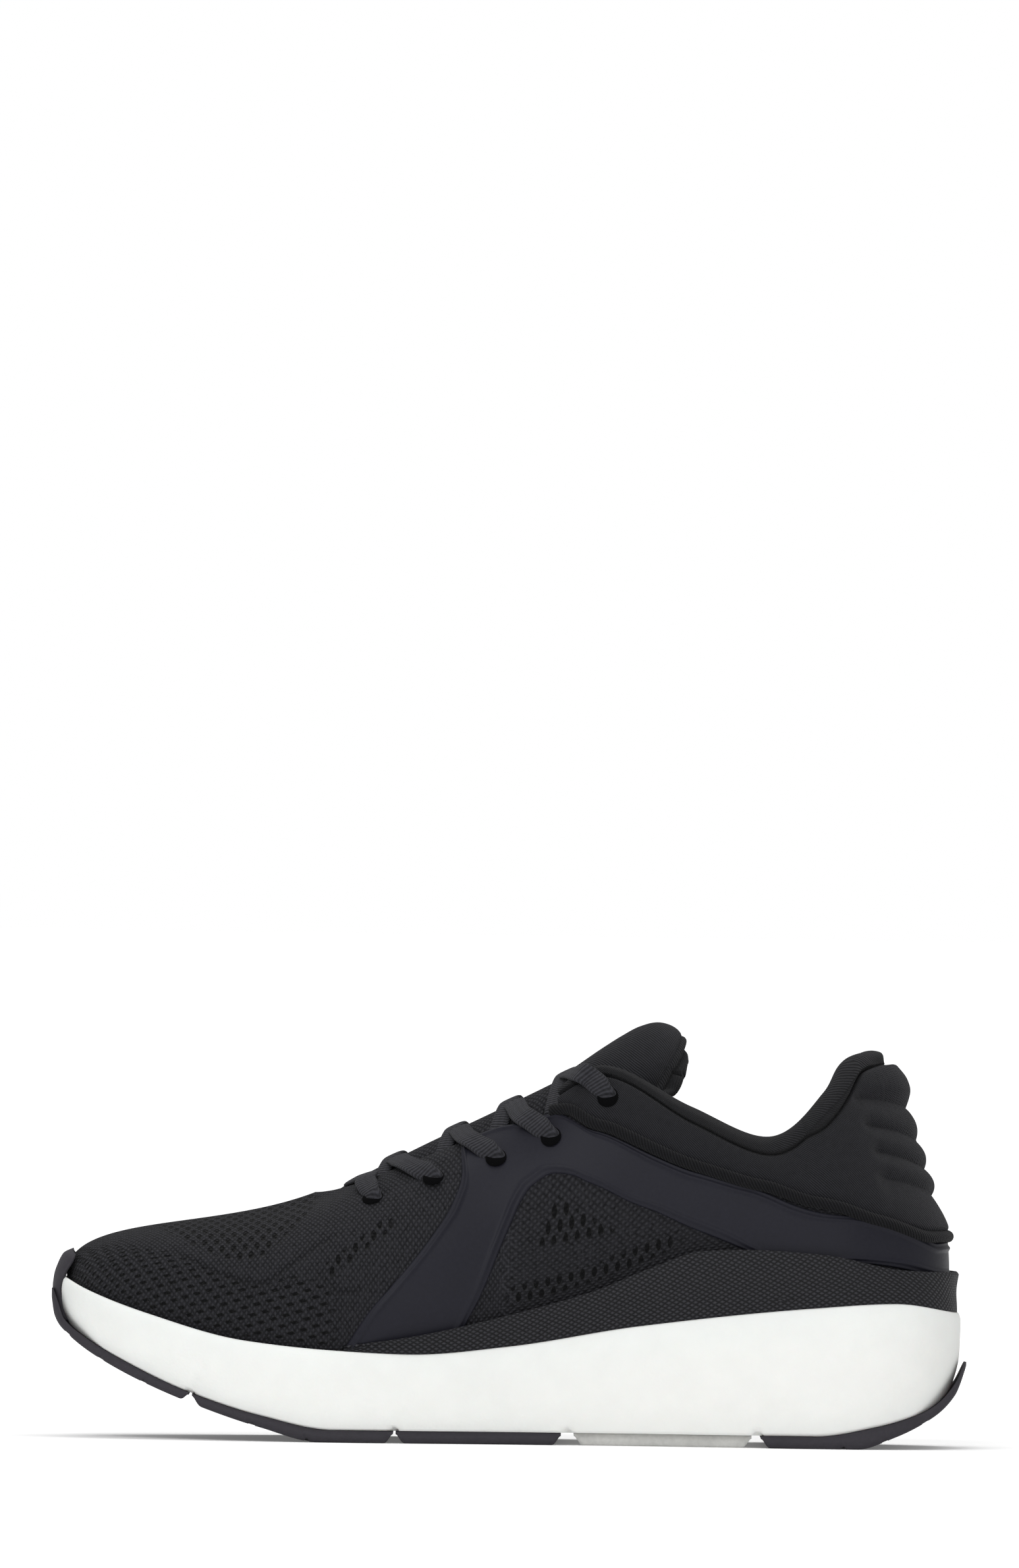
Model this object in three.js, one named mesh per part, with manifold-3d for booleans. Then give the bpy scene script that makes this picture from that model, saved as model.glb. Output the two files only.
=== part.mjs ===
// Running shoe, right foot. Millimetres, +Z up, toe towards -X, heel towards +X.
// The medial (inner) side of the foot faces -Y. The sole rests on z = 0.
//
// One closed plan outline runs round the sole: t = 0 at the toe, 0.5 at the heel, medial side first.
// The upper is one skin between that outline (v = 0) and the throat and collar edge (v = 1), and every
// layer of the upper is this skin moved along its own normal.
import * as THREE from 'three';
import { mergeVertices } from 'three/addons/utils/BufferGeometryUtils.js';
import Module from 'manifold-3d';

const wasm = await Module();
wasm.setup();

// ---------- driving dimensions ----------
const GAP = 0.3; // clearance between pieces that rest on each other
const KNIT = 1.6; // knit thickness
const OVERLAY = 0.7; // bonded film overlay
const OVERLAY_CLEAR = 0.8; // its facets clear the facets of the knit
const BACKING = 0.8; // eyestay reinforcement
const COUNTER = 1.6; // heel counter and toe puff board
const LINING = 1.2; // collar lining cloth
const CRADLE_STAND = 3.4; // outer face of the cradle lip above the upper
const CRADLE_CLEAR = 1.9; // inner face of the cradle lip above the upper
const RUBBER = 3.5; // outsole rubber
const STROBEL = 1.2; // board that closes the upper below
const SOCK_FOAM = 3.6; // removable sockliner foam
const SOCK_CLOTH = 0.8; // its top cloth
const PIPING_RADIUS = 1.85;
const LACE = { width: 4.6, thickness: 1.9 };
const EYELET_RADIUS = 2.9;
const AGLET = { radius: 1.7, length: 22 };
const TONGUE = { base: 3.6, top: 8.4, shell: 1.5, lining: 1.3 };
const EYESTAY_DEPTH = 17; // eyestay below the throat edge
const UNDERFOOT_INSET = 7; // the upper turns under this far inside the outline

// Plan outline of the sole at its widest, and the throat and collar edge above each of its points.
const STATIONS = [
  { plan: [-140, -9], edge: [-60, -3, 77] },
  { plan: [-135.5, -24], edge: [-59, -6, 77] },
  { plan: [-124, -35.5], edge: [-57, -8.5, 77.2] },
  { plan: [-104, -44.5], edge: [-53, -10.5, 78.2] },
  { plan: [-80, -50.5], edge: [-45, -12.5, 80.8] },
  { plan: [-54, -53], edge: [-33, -14, 85.8] },
  { plan: [-26, -49], edge: [-16, -16, 93] },
  { plan: [2, -43.5], edge: [3, -18.5, 101.3] },
  { plan: [30, -41.2], edge: [27, -23, 117.5] },
  { plan: [58, -41.5], edge: [55, -33, 105.3] },
  { plan: [86, -42.3], edge: [80, -35, 96.8] },
  { plan: [110, -40.5], edge: [97, -30, 110.5] },
  { plan: [127, -33], edge: [105, -21, 121] },
  { plan: [137, -19], edge: [112, -10.5, 124] },
  { plan: [140, 1], edge: [114.5, 1, 124.2] },
  { plan: [137.5, 20], edge: [112, 12.5, 123.4] },
  { plan: [128, 35], edge: [105, 23, 119.5] },
  { plan: [110, 42.5], edge: [97, 32, 108] },
  { plan: [86, 44.5], edge: [80, 37, 93.2] },
  { plan: [58, 45.8], edge: [55, 35, 101.5] },
  { plan: [30, 47.5], edge: [27, 24, 114.5] },
  { plan: [2, 50], edge: [3, 18.5, 100] },
  { plan: [-26, 52.5], edge: [-16, 16, 92.2] },
  { plan: [-54, 50.5], edge: [-33, 13.5, 85.4] },
  { plan: [-80, 44], edge: [-45, 11, 80.5] },
  { plan: [-104, 34], edge: [-53, 8, 78] },
  { plan: [-124, 19.5], edge: [-57, 4.5, 77.2] },
  { plan: [-135.5, 6], edge: [-59, 0.5, 77] },
];

// Heights along the length of the shoe.
const soleBottom = profile([[-142.3, 44.9], [-141, 37.6], [-138.5, 33.6], [-124.9, 23.6], [-100, 12.2],
  [-76, 4.2], [-58, 0], [108, 0], [120, 3.8], [132, 10.2], [138.5, 16.8], [142.5, 26.7]]);
const foamBottom = profile([[-141.5, 46], [-139.8, 41.5], [-138, 36.8], [-131, 31], [-118.8, 24], [-100, 15.4],
  [-76, 7.9], [-54, 3.9], [95, 3.9], [114, 7], [126, 10.6], [132.5, 14], [138.5, 20.6], [141.5, 27]]);
const foamTop = profile([[-141, 51.6], [-131, 46], [-112, 39], [-82, 31.2], [-52, 28.4], [-30, 27.6],
  [0, 30.4], [40, 37.2], [95, 43.6], [120, 45.2], [141, 42]]);
const cradleTop = profile([[-52, 29.7], [-30, 33.1], [0, 40.2], [26, 47.9], [44, 55.4], [60, 60.8],
  [74, 61.4], [97, 60.2], [122, 55.6], [141, 54.8]]);
const footbed = profile([[-141, 42], [-120, 33.5], [-90, 25], [-55, 21.5], [0, 22.5], [50, 29],
  [90, 33], [141, 35]]);

// Lines on the medial side, seen square on, that the lateral side repeats.
const PIPING_LINE = [[14.5, 104.6], [26, 99.2], [43, 92.4], [60, 86], [78, 81], [95, 76], [112, 71.2],
  [129, 65.8], [137, 64.4]];
const COLLAR_SEAM = [[26, 114.6], [33, 115.6], [40, 111], [50, 104], [64, 97.4], [78, 94.2], [88, 95.4],
  [97, 99.8], [103, 107.2], [108, 116.4], [115, 121.4]];
const EYELETS = [[-42.5, 75.8], [-23.8, 81.8], [-4.6, 88.4], [12.4, 95.4], [29.6, 108]];
const OVERLAY_OUTLINE = [[-16, 96], [-15.2, 87.3], [-17.5, 75.7], [-25, 63], [-36.8, 48.4], [-50.6, 30.4],
  [-16.8, 30.4], [-8.8, 45.9], [-3, 60.5], [2.6, 74], [9.3, 81.8], [16, 83.6],
  [27.6, 79.2], [47, 71.8], [64.4, 64.9], [78.9, 58], [97, 56.5], [125, 51.5], [145, 51], [145, 62],
  [131.9, 61.8], [102.8, 69.6], [73.8, 77.8], [44.8, 86], [25.4, 94.6], [12.7, 102], [12, 110]];

// Centre line of the tongue's outer face, from under the vamp to its free end.
const tongueRidge = profile([[-74, 68], [-60, 72], [-50, 78.4], [-28, 90.6], [-4, 102.6], [20.7, 115.6],
  [38.4, 127.6], [56, 137.5]]);
const TONGUE_FRONT = -72;
const TONGUE_END = 45.5;
const TONGUE_SPLIT = 21; // where the padded top starts to bend
const tongueHalf = profile([[-74, 12], [-40, 18], [0, 20.5], [18, 20], [34, 20.5], [60, 22]]);

// ---------- small maths ----------
// Smooth function through a few points that never overshoots them.
function profile(points) {
  const n = points.length;
  const slopes = [];
  for (let i = 0; i < n - 1; i++) {
    slopes.push((points[i + 1][1] - points[i][1]) / (points[i + 1][0] - points[i][0]));
  }
  const tangents = points.map((_, i) => {
    if (i === 0 || i === n - 1) return slopes[Math.min(i, n - 2)];
    const product = slopes[i - 1] * slopes[i];
    return product <= 0 ? 0 : (2 * product) / (slopes[i - 1] + slopes[i]);
  });
  return (x) => {
    let i = 0;
    while (i < n - 2 && x > points[i + 1][0]) i++;
    const width = points[i + 1][0] - points[i][0];
    const s = THREE.MathUtils.clamp((x - points[i][0]) / width, 0, 1);
    const rest = 1 - s;
    return points[i][1] * (1 + 2 * s) * rest * rest + tangents[i] * width * s * rest * rest
      + points[i + 1][1] * (3 - 2 * s) * s * s - tangents[i + 1] * width * s * s * rest;
  };
}

const smooth = (x, from, to) => THREE.MathUtils.smoothstep(x, from, to);
const lerp = THREE.MathUtils.lerp;
const vec = (x, y, z) => new THREE.Vector3(x, y, z);
const wrap = (t) => t - Math.floor(t);

const planCurve = new THREE.CatmullRomCurve3(STATIONS.map((s) => vec(s.plan[0], s.plan[1], 0)),
  true, 'catmullrom', 0.5);
const edgeCurve = new THREE.CatmullRomCurve3(STATIONS.map((s) => vec(...s.edge)), true, 'catmullrom', 0.5);

// Horizontal direction out of the plan outline.
function outward(t) {
  const along = planCurve.getPoint(wrap(t + 1e-3)).sub(planCurve.getPoint(wrap(t - 1e-3)));
  return vec(along.y, -along.x, 0).normalize();
}

// Point of the plan outline moved in by inset, at the height that the profile gives there.
function planPoint(t, inset, height) {
  const point = planCurve.getPoint(wrap(t)).addScaledVector(outward(t), -inset);
  point.z = height(point.x);
  return point;
}

// Outer skin of the upper.
function skin(t, v) {
  const foot = planPoint(t, UNDERFOOT_INSET, (x) => footbed(x) + 2 * GAP);
  const edge = edgeCurve.getPoint(wrap(t));
  const out = outward(t);
  const planX = planCurve.getPoint(wrap(t)).x;
  const toe = 1 - smooth(planX, -132, -50);
  const heel = smooth(planX, 90, 138);
  const reach = vec(edge.x - foot.x, edge.y - foot.y, 0);
  const rise = edge.z - foot.z;
  const blend = (middle, atToe, atHeel) => middle + (atToe - middle) * toe + (atHeel - middle) * heel;
  const control = (share, lift, stand) => foot.clone().addScaledVector(reach, share)
    .addScaledVector(out, stand).setZ(foot.z + rise * lift);
  const points = [
    foot,
    control(0, blend(0.2, 0.36, 0.2), blend(8, 10, 6)),
    control(blend(0, 0, 0.1), blend(0.5, 0.84, 0.5), blend(9, 9, 5)),
    control(blend(0.35, 0.5, 0.5), blend(0.86, 0.6, 0.82), blend(1, 0, 0)),
    edge,
  ];
  const w = 1 - v;
  const weights = [w ** 4, 4 * v * w ** 3, 6 * v * v * w * w, 4 * v ** 3 * w, v ** 4];
  const sum = vec(0, 0, 0);
  points.forEach((point, i) => sum.addScaledVector(point, weights[i]));
  return sum;
}

function skinNormal(t, v) {
  const e = 2e-3;
  const low = Math.max(v - e, 0);
  const high = Math.min(v + e, 1);
  const along = skin(t + e, v).sub(skin(t - e, v));
  const up = skin(t, high).sub(skin(t, low));
  return along.cross(up).normalize();
}

const layer = (t, v, offset) => skin(t, v).addScaledVector(skinNormal(t, v), offset);

// Length of the skin per unit of v.
const stretch = (t, v) => skin(t, Math.min(v + 0.01, 1)).distanceTo(skin(t, v - 0.01))
  / (Math.min(v + 0.01, 1) - v + 0.01);

// v at which the skin reaches a height, low on the side.
function heightToV(t, z) {
  let low = 0;
  let high = 0.75;
  for (let i = 0; i < 24; i++) {
    const mid = (low + high) / 2;
    if (skin(t, mid).z < z) low = mid;
    else high = mid;
  }
  return low;
}

// (t, v) on the medial side where the skin shows at (x, z) seen square on.
function locate([x, z]) {
  let t = 0.5 * (x + 140) / 280;
  let v = 0.6;
  for (let i = 0; i < 40; i++) {
    const p = skin(t, v);
    const e = 1e-3;
    const dt = skin(t + e, v).sub(p).divideScalar(e);
    const dv = skin(t, v + e).sub(p).divideScalar(e);
    const det = dt.x * dv.z - dv.x * dt.z;
    const dx = x - p.x;
    const dz = z - p.z;
    t = THREE.MathUtils.clamp(t + 0.6 * (dx * dv.z - dv.x * dz) / det, 0.005, 0.5);
    v = THREE.MathUtils.clamp(v + 0.6 * (dt.x * dz - dx * dt.z) / det, 0.02, 1);
  }
  return [t, v];
}

// A line on the skin as v over t, the same on both sides.
function skinLine(points) {
  const line = profile(points.map(locate));
  return (t) => line(t > 0.5 ? 1 - t : t);
}

const pipingV = skinLine(PIPING_LINE);
const seamV = skinLine(COLLAR_SEAM);
const eyelets = EYELETS.map(locate);
const COLLAR_START = locate(PIPING_LINE[0])[0]; // where the piping meets the throat, medial side
const COLLAR_END = 1 - COLLAR_START;
const HEEL = 0.5;

// ---------- solids ----------
// Grid that corners are placed on, so that corners which should meet do meet exactly.
const snap = (value) => Math.round(value * 512) / 512;

// Turns a mapped three.js geometry into one closed indexed body that faces outwards.
function closeBody(geometry) {
  geometry.deleteAttribute('normal');
  geometry.deleteAttribute('uv');
  const merged = mergeVertices(geometry, 1e-3);
  const kept = [];
  const index = merged.index.array;
  let volume = 0;
  const corner = [vec(0, 0, 0), vec(0, 0, 0), vec(0, 0, 0)];
  for (let i = 0; i < index.length; i += 3) {
    const [a, b, c] = index.slice(i, i + 3);
    if (a === b || b === c || c === a) continue;
    kept.push(a, b, c);
    [a, b, c].forEach((id, k) => corner[k].fromBufferAttribute(merged.attributes.position, id));
    volume += corner[0].dot(corner[1].clone().cross(corner[2]));
  }
  if (volume < 0) kept.reverse();
  merged.setIndex(kept);
  return merged;
}

// Splits every cell of a mapped plane along its shorter diagonal, so that layers which lie over each
// other are faceted alike.
function splitShort(geometry, nu, nv) {
  const at = (id) => vec(0, 0, 0).fromBufferAttribute(geometry.attributes.position, id);
  const index = [];
  for (let row = 0; row < nv; row++) {
    for (let column = 0; column < nu; column++) {
      const a = row * (nu + 1) + column;
      const [b, c, d] = [a + nu + 1, a + nu + 2, a + 1];
      if (at(a).distanceTo(at(c)) < at(b).distanceTo(at(d))) index.push(a, b, c, a, c, d);
      else index.push(a, b, d, b, c, d);
    }
  }
  geometry.setIndex(index);
}

// A plane mapped into a closed surface; point(u, v) joins up with itself or ends in a line or point.
function wrapped(nu, nv, point) {
  const geometry = new THREE.PlaneGeometry(1, 1, nu, nv);
  const { position, uv } = geometry.attributes;
  for (let i = 0; i < position.count; i++) {
    const p = point(Math.round(uv.getX(i) * nu) / nu, Math.round(uv.getY(i) * nv) / nv);
    position.setXYZ(i, snap(p.x), snap(p.y), snap(p.z));
  }
  splitShort(geometry, nu, nv);
  return closeBody(geometry);
}

// A box mapped into a panel; point(a, b, c) takes each axis from 0 to 1.
function panel(na, nb, nc, point) {
  const geometry = new THREE.BoxGeometry(1, 1, 1, na, nb, nc);
  const { position } = geometry.attributes;
  for (let i = 0; i < position.count; i++) {
    const [a, b, c] = [position.getX(i) * na, position.getY(i) * nb, position.getZ(i) * nc];
    const p = point(Math.round(a + na / 2) / na, Math.round(b + nb / 2) / nb, Math.round(c + nc / 2) / nc);
    position.setXYZ(i, snap(p.x), snap(p.y), snap(p.z));
  }
  return closeBody(geometry);
}

// Closed section loops carried round the outline or along a path.
function rings(count, loops) {
  return wrapped(count, loops.length - 1, (u, v) => loops[Math.round(v * (loops.length - 1))](wrap(u)));
}

function solid(geometry) {
  const mesh = new wasm.Mesh({
    numProp: 3,
    vertProperties: new Float32Array(geometry.attributes.position.array),
    triVerts: new Uint32Array(geometry.index.array),
  });
  return new wasm.Manifold(mesh);
}

function geometryOf(manifold) {
  const mesh = manifold.getMesh();
  const geometry = new THREE.BufferGeometry();
  geometry.setAttribute('position', new THREE.BufferAttribute(mesh.vertProperties, 3));
  geometry.setIndex(new THREE.BufferAttribute(mesh.triVerts, 1));
  return closeBody(geometry);
}

const cut = (geometry, tools) => geometryOf(tools.reduce((body, tool) => body.subtract(solid(tool)),
  solid(geometry)));

// Point on the line where the two sides of a flat cap meet.
function spine(height, inset) {
  return (t) => {
    const near = planPoint(t, inset, height);
    const far = planPoint(1 - t, inset, height);
    const x = (near.x + far.x) / 2;
    return vec(x, (near.y + far.y) / 2, height(x));
  };
}

// A side outline extruded across one half of the shoe.
function sideCutter(outline, side) {
  const shape = new THREE.Shape(outline.map(([x, z]) => new THREE.Vector2(x, z)));
  const geometry = new THREE.ExtrudeGeometry(shape, { depth: 80, bevelEnabled: false });
  geometry.rotateX(Math.PI / 2);
  if (side === 'lateral') geometry.translate(0, 80, 0);
  return closeBody(geometry);
}

// A tube or flat strip along points that carry their own up direction.
function strip(path, steps, halfWidth, halfHeight, sides) {
  return wrapped(sides, steps + 2, (u, v) => {
    const ring = Math.round(v * (steps + 2));
    const s = THREE.MathUtils.clamp((ring - 1) / steps, 0, 1);
    const { point, along, up } = path(s);
    if (ring === 0 || ring === steps + 2) return point;
    const across = along.clone().cross(up).normalize();
    const angle = 2 * Math.PI * (wrap(u) + 0.5 / sides);
    return point.clone().addScaledVector(across, halfWidth * Math.cos(angle))
      .addScaledVector(up, halfHeight * Math.sin(angle));
  });
}

// Path from a list of { point, up } through which a smooth curve runs.
function smoothPath(knots) {
  const points = new THREE.CatmullRomCurve3(knots.map((k) => k.point), false, 'centripetal');
  const ups = new THREE.CatmullRomCurve3(knots.map((k) => k.up), false, 'catmullrom', 0.5);
  return (s) => {
    const along = points.getTangent(s);
    const up = ups.getPoint(s);
    up.addScaledVector(along, -up.dot(along)).normalize();
    return { point: points.getPoint(s), along, up };
  };
}

const group = new THREE.Group();

function add(name, geometry, color, roughness) {
  const material = new THREE.MeshStandardMaterial({ color, roughness, metalness: 0 });
  const mesh = new THREE.Mesh(geometry, material);
  mesh.name = name;
  group.add(mesh);
}

const AROUND = 56; // steps round the outline

// ---------- sole ----------
// The foam, or the foam grown outwards and downwards to trim what wraps it.
function midsole(grow = 0) {
  const rimV = (t) => heightToV(t, planPoint(t, 3, foamTop).z);
  const inner = (share, stand) => (t) => layer(t, rimV(t) * share, stand);
  const bottomInset = 2.4 - grow;
  const bottom = (x) => foamBottom(x) - grow;
  return rings(AROUND, [
    spine(footbed, 6),
    (t) => planPoint(t, 6, footbed),
    inner(0.5, 0.6),
    inner(1, 0.5),
    (t) => planPoint(t, 0.4 - grow, foamTop),
    (t) => planPoint(t, -0.2 - grow, (x) => lerp(foamBottom(x), foamTop(x), 0.7)),
    (t) => planPoint(t, -grow, (x) => lerp(foamBottom(x), foamTop(x), 0.3)),
    (t) => planPoint(t, bottomInset, bottom),
    spine(bottom, bottomInset),
  ]);
}

function outsoleSlab() {
  const top = (x) => foamBottom(x) - GAP;
  const sideX = (t) => planCurve.getPoint(wrap(t)).x;
  const tip = (t) => smooth(Math.abs(sideX(t) + sideX(1 - t)) / 2, 104, 139);
  const topInset = (t) => lerp(3.2, -0.6, tip(t));
  const bottomInset = (t) => lerp(2.8, -2.3, tip(t));
  return rings(AROUND, [
    (t) => spine(top, topInset(t))(t),
    (t) => planPoint(t, topInset(t), top),
    (t) => planPoint(t, bottomInset(t), soleBottom),
    (t) => spine(soleBottom, bottomInset(t))(t),
  ]);
}

// A vertical block that keeps one stretch of the sole.
function block(fromX, toX) {
  const geometry = new THREE.BoxGeometry(toX - fromX, 140, 120);
  geometry.translate((fromX + toX) / 2, 0, 40);
  return closeBody(geometry);
}

// Strip of rubber that climbs the very tip of the toe.
function toeBumper() {
  const climb = [[40, 2.1], [43, 2.3], [47, 2.3], [52, 2], [56, 0.9], [59.4, -1.6], [60.8, -4.6]];
  const height = profile(climb.map(([z], i) => [i / (climb.length - 1), z]));
  const stand = profile(climb.map(([, out], i) => [i / (climb.length - 1), out]));
  const thickness = 1.5;
  const halfSpan = 0.032;
  return panel(6, 8, 1, (a, b, c) => {
    const t = wrap((a - 0.5) * 2 * halfSpan);
    const climbed = b * lerp(0.45, 1, 1 - (2 * a - 1) ** 4);
    return planPoint(t, c * thickness - stand(climbed), () => height(climbed));
  });
}

function soleUnit() {
  const slab = solid(outsoleSlab());
  const trim = solid(midsole(GAP));
  const stretches = { outsole_toe: [-150, -99], outsole_forefoot: [-97.4, -36], outsole_arch: [-34, 18],
    outsole_heel_front: [20, 76.4], outsole_heel: [78, 150] };
  const color = { outsole_toe: 0x3f3d42, outsole_arch: 0x3c3b40 };
  for (const [name, [fromX, toX]] of Object.entries(stretches)) {
    let piece = slab.intersect(solid(block(fromX, toX)));
    if (name === 'outsole_toe') piece = piece.add(solid(toeBumper()));
    piece = piece.subtract(trim);
    add(name, geometryOf(piece), color[name] ?? 0x3f3d42, 0.75);
  }
  add('midsole', midsole(), 0xf2f2ef, 0.6);
}

// Textured side rail that cups the rear half of the upper.
function cradle() {
  const start = locate([-48, 31])[0];
  return panel(40, 6, 1, (a, b, c) => {
    const t = lerp(start, 1 - start, a);
    const low = planPoint(t, 1, (x) => foamTop(x) + 3 * GAP);
    const height = lerp(low.z, Math.max(cradleTop(low.x), low.z + 1), b);
    const v = heightToV(t, height);
    const outer = low.lerp(layer(t, v, CRADLE_STAND), smooth(b, 0, 0.7));
    return outer.lerp(layer(t, v, CRADLE_CLEAR), c).setZ(height);
  });
}

// ---------- upper ----------
const SEAM_ALLOWANCE = 2.3;

function knitTop(t) {
  const collar = pipingV(t) - SEAM_ALLOWANCE / stretch(t, pipingV(t));
  const fade = smooth(Math.abs(t - HEEL), HEEL - COLLAR_START, HEEL - COLLAR_START + 0.03);
  return lerp(Math.min(collar, 0.995), 0.995, fade);
}

// Shares of the way up at which every layer of the upper has a row of corners.
const LEVELS = [0, 0.12, 0.26, 0.4, 0.55, 0.7, 0.85, 1];

// Closed shell right round the upper between two offsets from the skin.
function shell(levels, outerOffset, innerOffset) {
  const face = (share, offset) => (t) => layer(t, knitTop(t) * share, offset);
  const outer = levels.map((share) => face(share, outerOffset));
  const inner = levels.map((share) => face(share, innerOffset)).reverse();
  return rings(AROUND, [...outer, ...inner, outer[0]]);
}

// Board behind the knit: whole steps round the outline on both sides of a middle, up to a level.
function board(middle, steps, top) {
  return panel(2 * steps, top - 1, 1, (a, b, c) => {
    const t = wrap(middle + (2 * a - 1) * steps / AROUND);
    const share = LEVELS[1 + Math.round(b * (top - 1))];
    return layer(t, knitTop(t) * share, -KNIT - 1.5 * GAP - c * COUNTER);
  });
}

function eyeletCutter([t, v], side) {
  const place = side === 'lateral' ? 1 - t : t;
  const geometry = new THREE.CylinderGeometry(EYELET_RADIUS, EYELET_RADIUS, 26, 12);
  const normal = skinNormal(place, v);
  geometry.applyQuaternion(new THREE.Quaternion().setFromUnitVectors(vec(0, 1, 0), normal));
  const middle = layer(place, v, -6);
  geometry.translate(middle.x, middle.y, middle.z);
  return closeBody(geometry);
}

const eyeletCutters = ['medial', 'lateral'].flatMap((side) => eyelets.map((at) => eyeletCutter(at, side)));

function pipingPath() {
  const ends = [COLLAR_START - 0.003, COLLAR_END + 0.003];
  return (s) => {
    const at = (share) => {
      const t = lerp(ends[0], ends[1], share);
      return layer(t, pipingV(t), 0.7);
    };
    const t = lerp(ends[0], ends[1], s);
    const along = at(Math.min(s + 0.01, 1)).sub(at(Math.max(s - 0.01, 0))).normalize();
    const up = skinNormal(t, pipingV(t));
    up.addScaledVector(along, -up.dot(along)).normalize();
    return { point: at(s), along, up };
  };
}

const pipingCutter = () => strip(pipingPath(), 32, PIPING_RADIUS + GAP, PIPING_RADIUS + GAP, 8);

// Bonded film on one side: the skin moved out, kept inside its side outline.
function overlay(side) {
  const sheet = shell(LEVELS.slice(1), OVERLAY_CLEAR + OVERLAY, OVERLAY_CLEAR);
  const half = new THREE.BoxGeometry(400, 80, 300);
  half.translate(0, side === 'medial' ? -40.4 : 42.4, 100);
  let body = solid(sheet).intersect(solid(sideCutter(OVERLAY_OUTLINE, side)));
  body = body.intersect(solid(closeBody(half))).subtract(solid(pipingCutter()));
  body = eyeletCutters.reduce((rest, tool) => rest.subtract(solid(tool)), body);
  const parts = body.decompose().sort((a, b) => b.volume() - a.volume());
  return geometryOf(parts[0]);
}

function eyestay(side) {
  const from = locate([-50, 74])[0];
  const to = eyelets[4][0] + 0.008;
  const body = panel(16, 3, 1, (a, b, c) => {
    const t = lerp(from, to, a);
    const place = side === 'lateral' ? 1 - t : t;
    const top = t > COLLAR_START - 0.012 ? rollV(t) - 0.02 : 0.985;
    const bottom = 1 - EYESTAY_DEPTH / stretch(place, 0.9);
    return layer(place, lerp(bottom, top, b), -KNIT - 4 * GAP - c * BACKING);
  });
  return cut(body, eyeletCutters);
}

// Collar: share of the way from its front corner to the padded ankle and heel.
const padding = (t) => smooth(HEEL - COLLAR_START - Math.abs(t - HEEL), 0.0, 0.09);
const rollRadius = (t) => lerp(2.7, 5, padding(t));
const rollV = (t) => 1 - rollRadius(t) / stretch(t, 0.97);
const seamAt = (t) => Math.min(seamV(t), rollV(t) - 0.5 / stretch(t, 0.97));

function collarPanel() {
  const body = panel(28, 5, 1, (a, b, c) => {
    const t = lerp(COLLAR_START, COLLAR_END, a);
    const low = pipingV(t) + SEAM_ALLOWANCE / stretch(t, pipingV(t));
    const high = Math.max(seamAt(t) - 0.4 / stretch(t, seamAt(t)), low + 0.02);
    return layer(t, lerp(low, high, b), -c * KNIT);
  });
  return cut(body, [...eyeletCutters, pipingCutter()]);
}

// Section of the collar measured from the outer face inwards; depth 0 is the visible lining face.
function collarSection(t, share, depth) {
  const radius = rollRadius(t);
  const top = rollV(t);
  const start = seamAt(t) + 0.2 / stretch(t, seamAt(t));
  if (share < 0.2) return layer(t, lerp(start, top, share / 0.2), -depth);
  if (share < 0.5) {
    const angle = Math.PI * (share - 0.2) / 0.3;
    const centre = layer(t, top, -radius);
    const normal = skinNormal(t, top);
    const up = skin(t, top + 0.01).sub(skin(t, top)).normalize();
    return centre.addScaledVector(normal, (radius - depth) * Math.cos(angle))
      .addScaledVector(up, (radius - depth) * Math.sin(angle));
  }
  const down = (share - 0.5) / 0.5;
  const v = lerp(top, 0.07, down);
  const pad = lerp(2 * radius, 7.4, smooth(down, 0, 0.8));
  return layer(t, v, -pad + depth);
}

function collarLining() {
  const body = panel(28, 10, 1, (a, b, c) => collarSection(lerp(COLLAR_START, COLLAR_END, a), b,
    c * LINING));
  return cut(body, eyeletCutters);
}

function collarFoam() {
  const body = panel(24, 6, 1, (a, b, c) => {
    const t = lerp(COLLAR_START + 0.012, COLLAR_END - 0.012, a);
    const top = rollV(t);
    const v = lerp(0.36, top, b);
    const share = 0.5 + 0.5 * (top - v) / (top - 0.07);
    const inner = collarSection(t, share, LINING + 2 * GAP);
    const front = 1 - smooth(Math.abs(a - 0.5), 0.36, 0.44);
    const stand = lerp(KNIT + GAP, KNIT + COUNTER + 2 * GAP, 1 - smooth(v, 0.54, 0.62) * front);
    return layer(t, v, -stand).lerp(inner, c);
  });
  return cut(body, eyeletCutters);
}

// ---------- underfoot ----------
function insoleBoard() {
  const low = (x) => footbed(x) + GAP;
  const high = (x) => footbed(x) + GAP + STROBEL;
  const inset = UNDERFOOT_INSET + KNIT + 2 * GAP;
  return rings(AROUND, [spine(low, inset), (t) => planPoint(t, inset, low),
    (t) => planPoint(t, inset, high), spine(high, inset)]);
}

const SOCK_BASE = 2 * GAP + STROBEL;
const SOCK_INSET = 16.5;

function sockLayer(from, thickness) {
  const low = (x) => footbed(x) + from;
  const high = (x) => footbed(x) + from + thickness;
  return rings(AROUND, [spine(low, SOCK_INSET), (t) => planPoint(t, SOCK_INSET, low),
    (t) => planPoint(t, SOCK_INSET, high), spine(high, SOCK_INSET)]);
}

// ---------- tongue ----------
// Point of the tongue: length along x, across from -1 to 1, depth below its outer face.
function tonguePoint(x, across, depth) {
  const half = tongueHalf(x);
  const y = across * half;
  const drop = 0.043 * Math.min(Math.abs(y), 16) ** 2 + 1.3 * Math.max(Math.abs(y) - 16, 0);
  const slopeX = (tongueRidge(x + 1) - tongueRidge(x - 1)) / 2;
  const slopeY = -Math.sign(y) * (Math.abs(y) < 16 ? 0.086 * Math.abs(y) : 1.35);
  const normal = vec(-slopeX, -slopeY, 1).normalize();
  return vec(x, y, tongueRidge(x) - drop).addScaledVector(normal, -depth);
}

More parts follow.
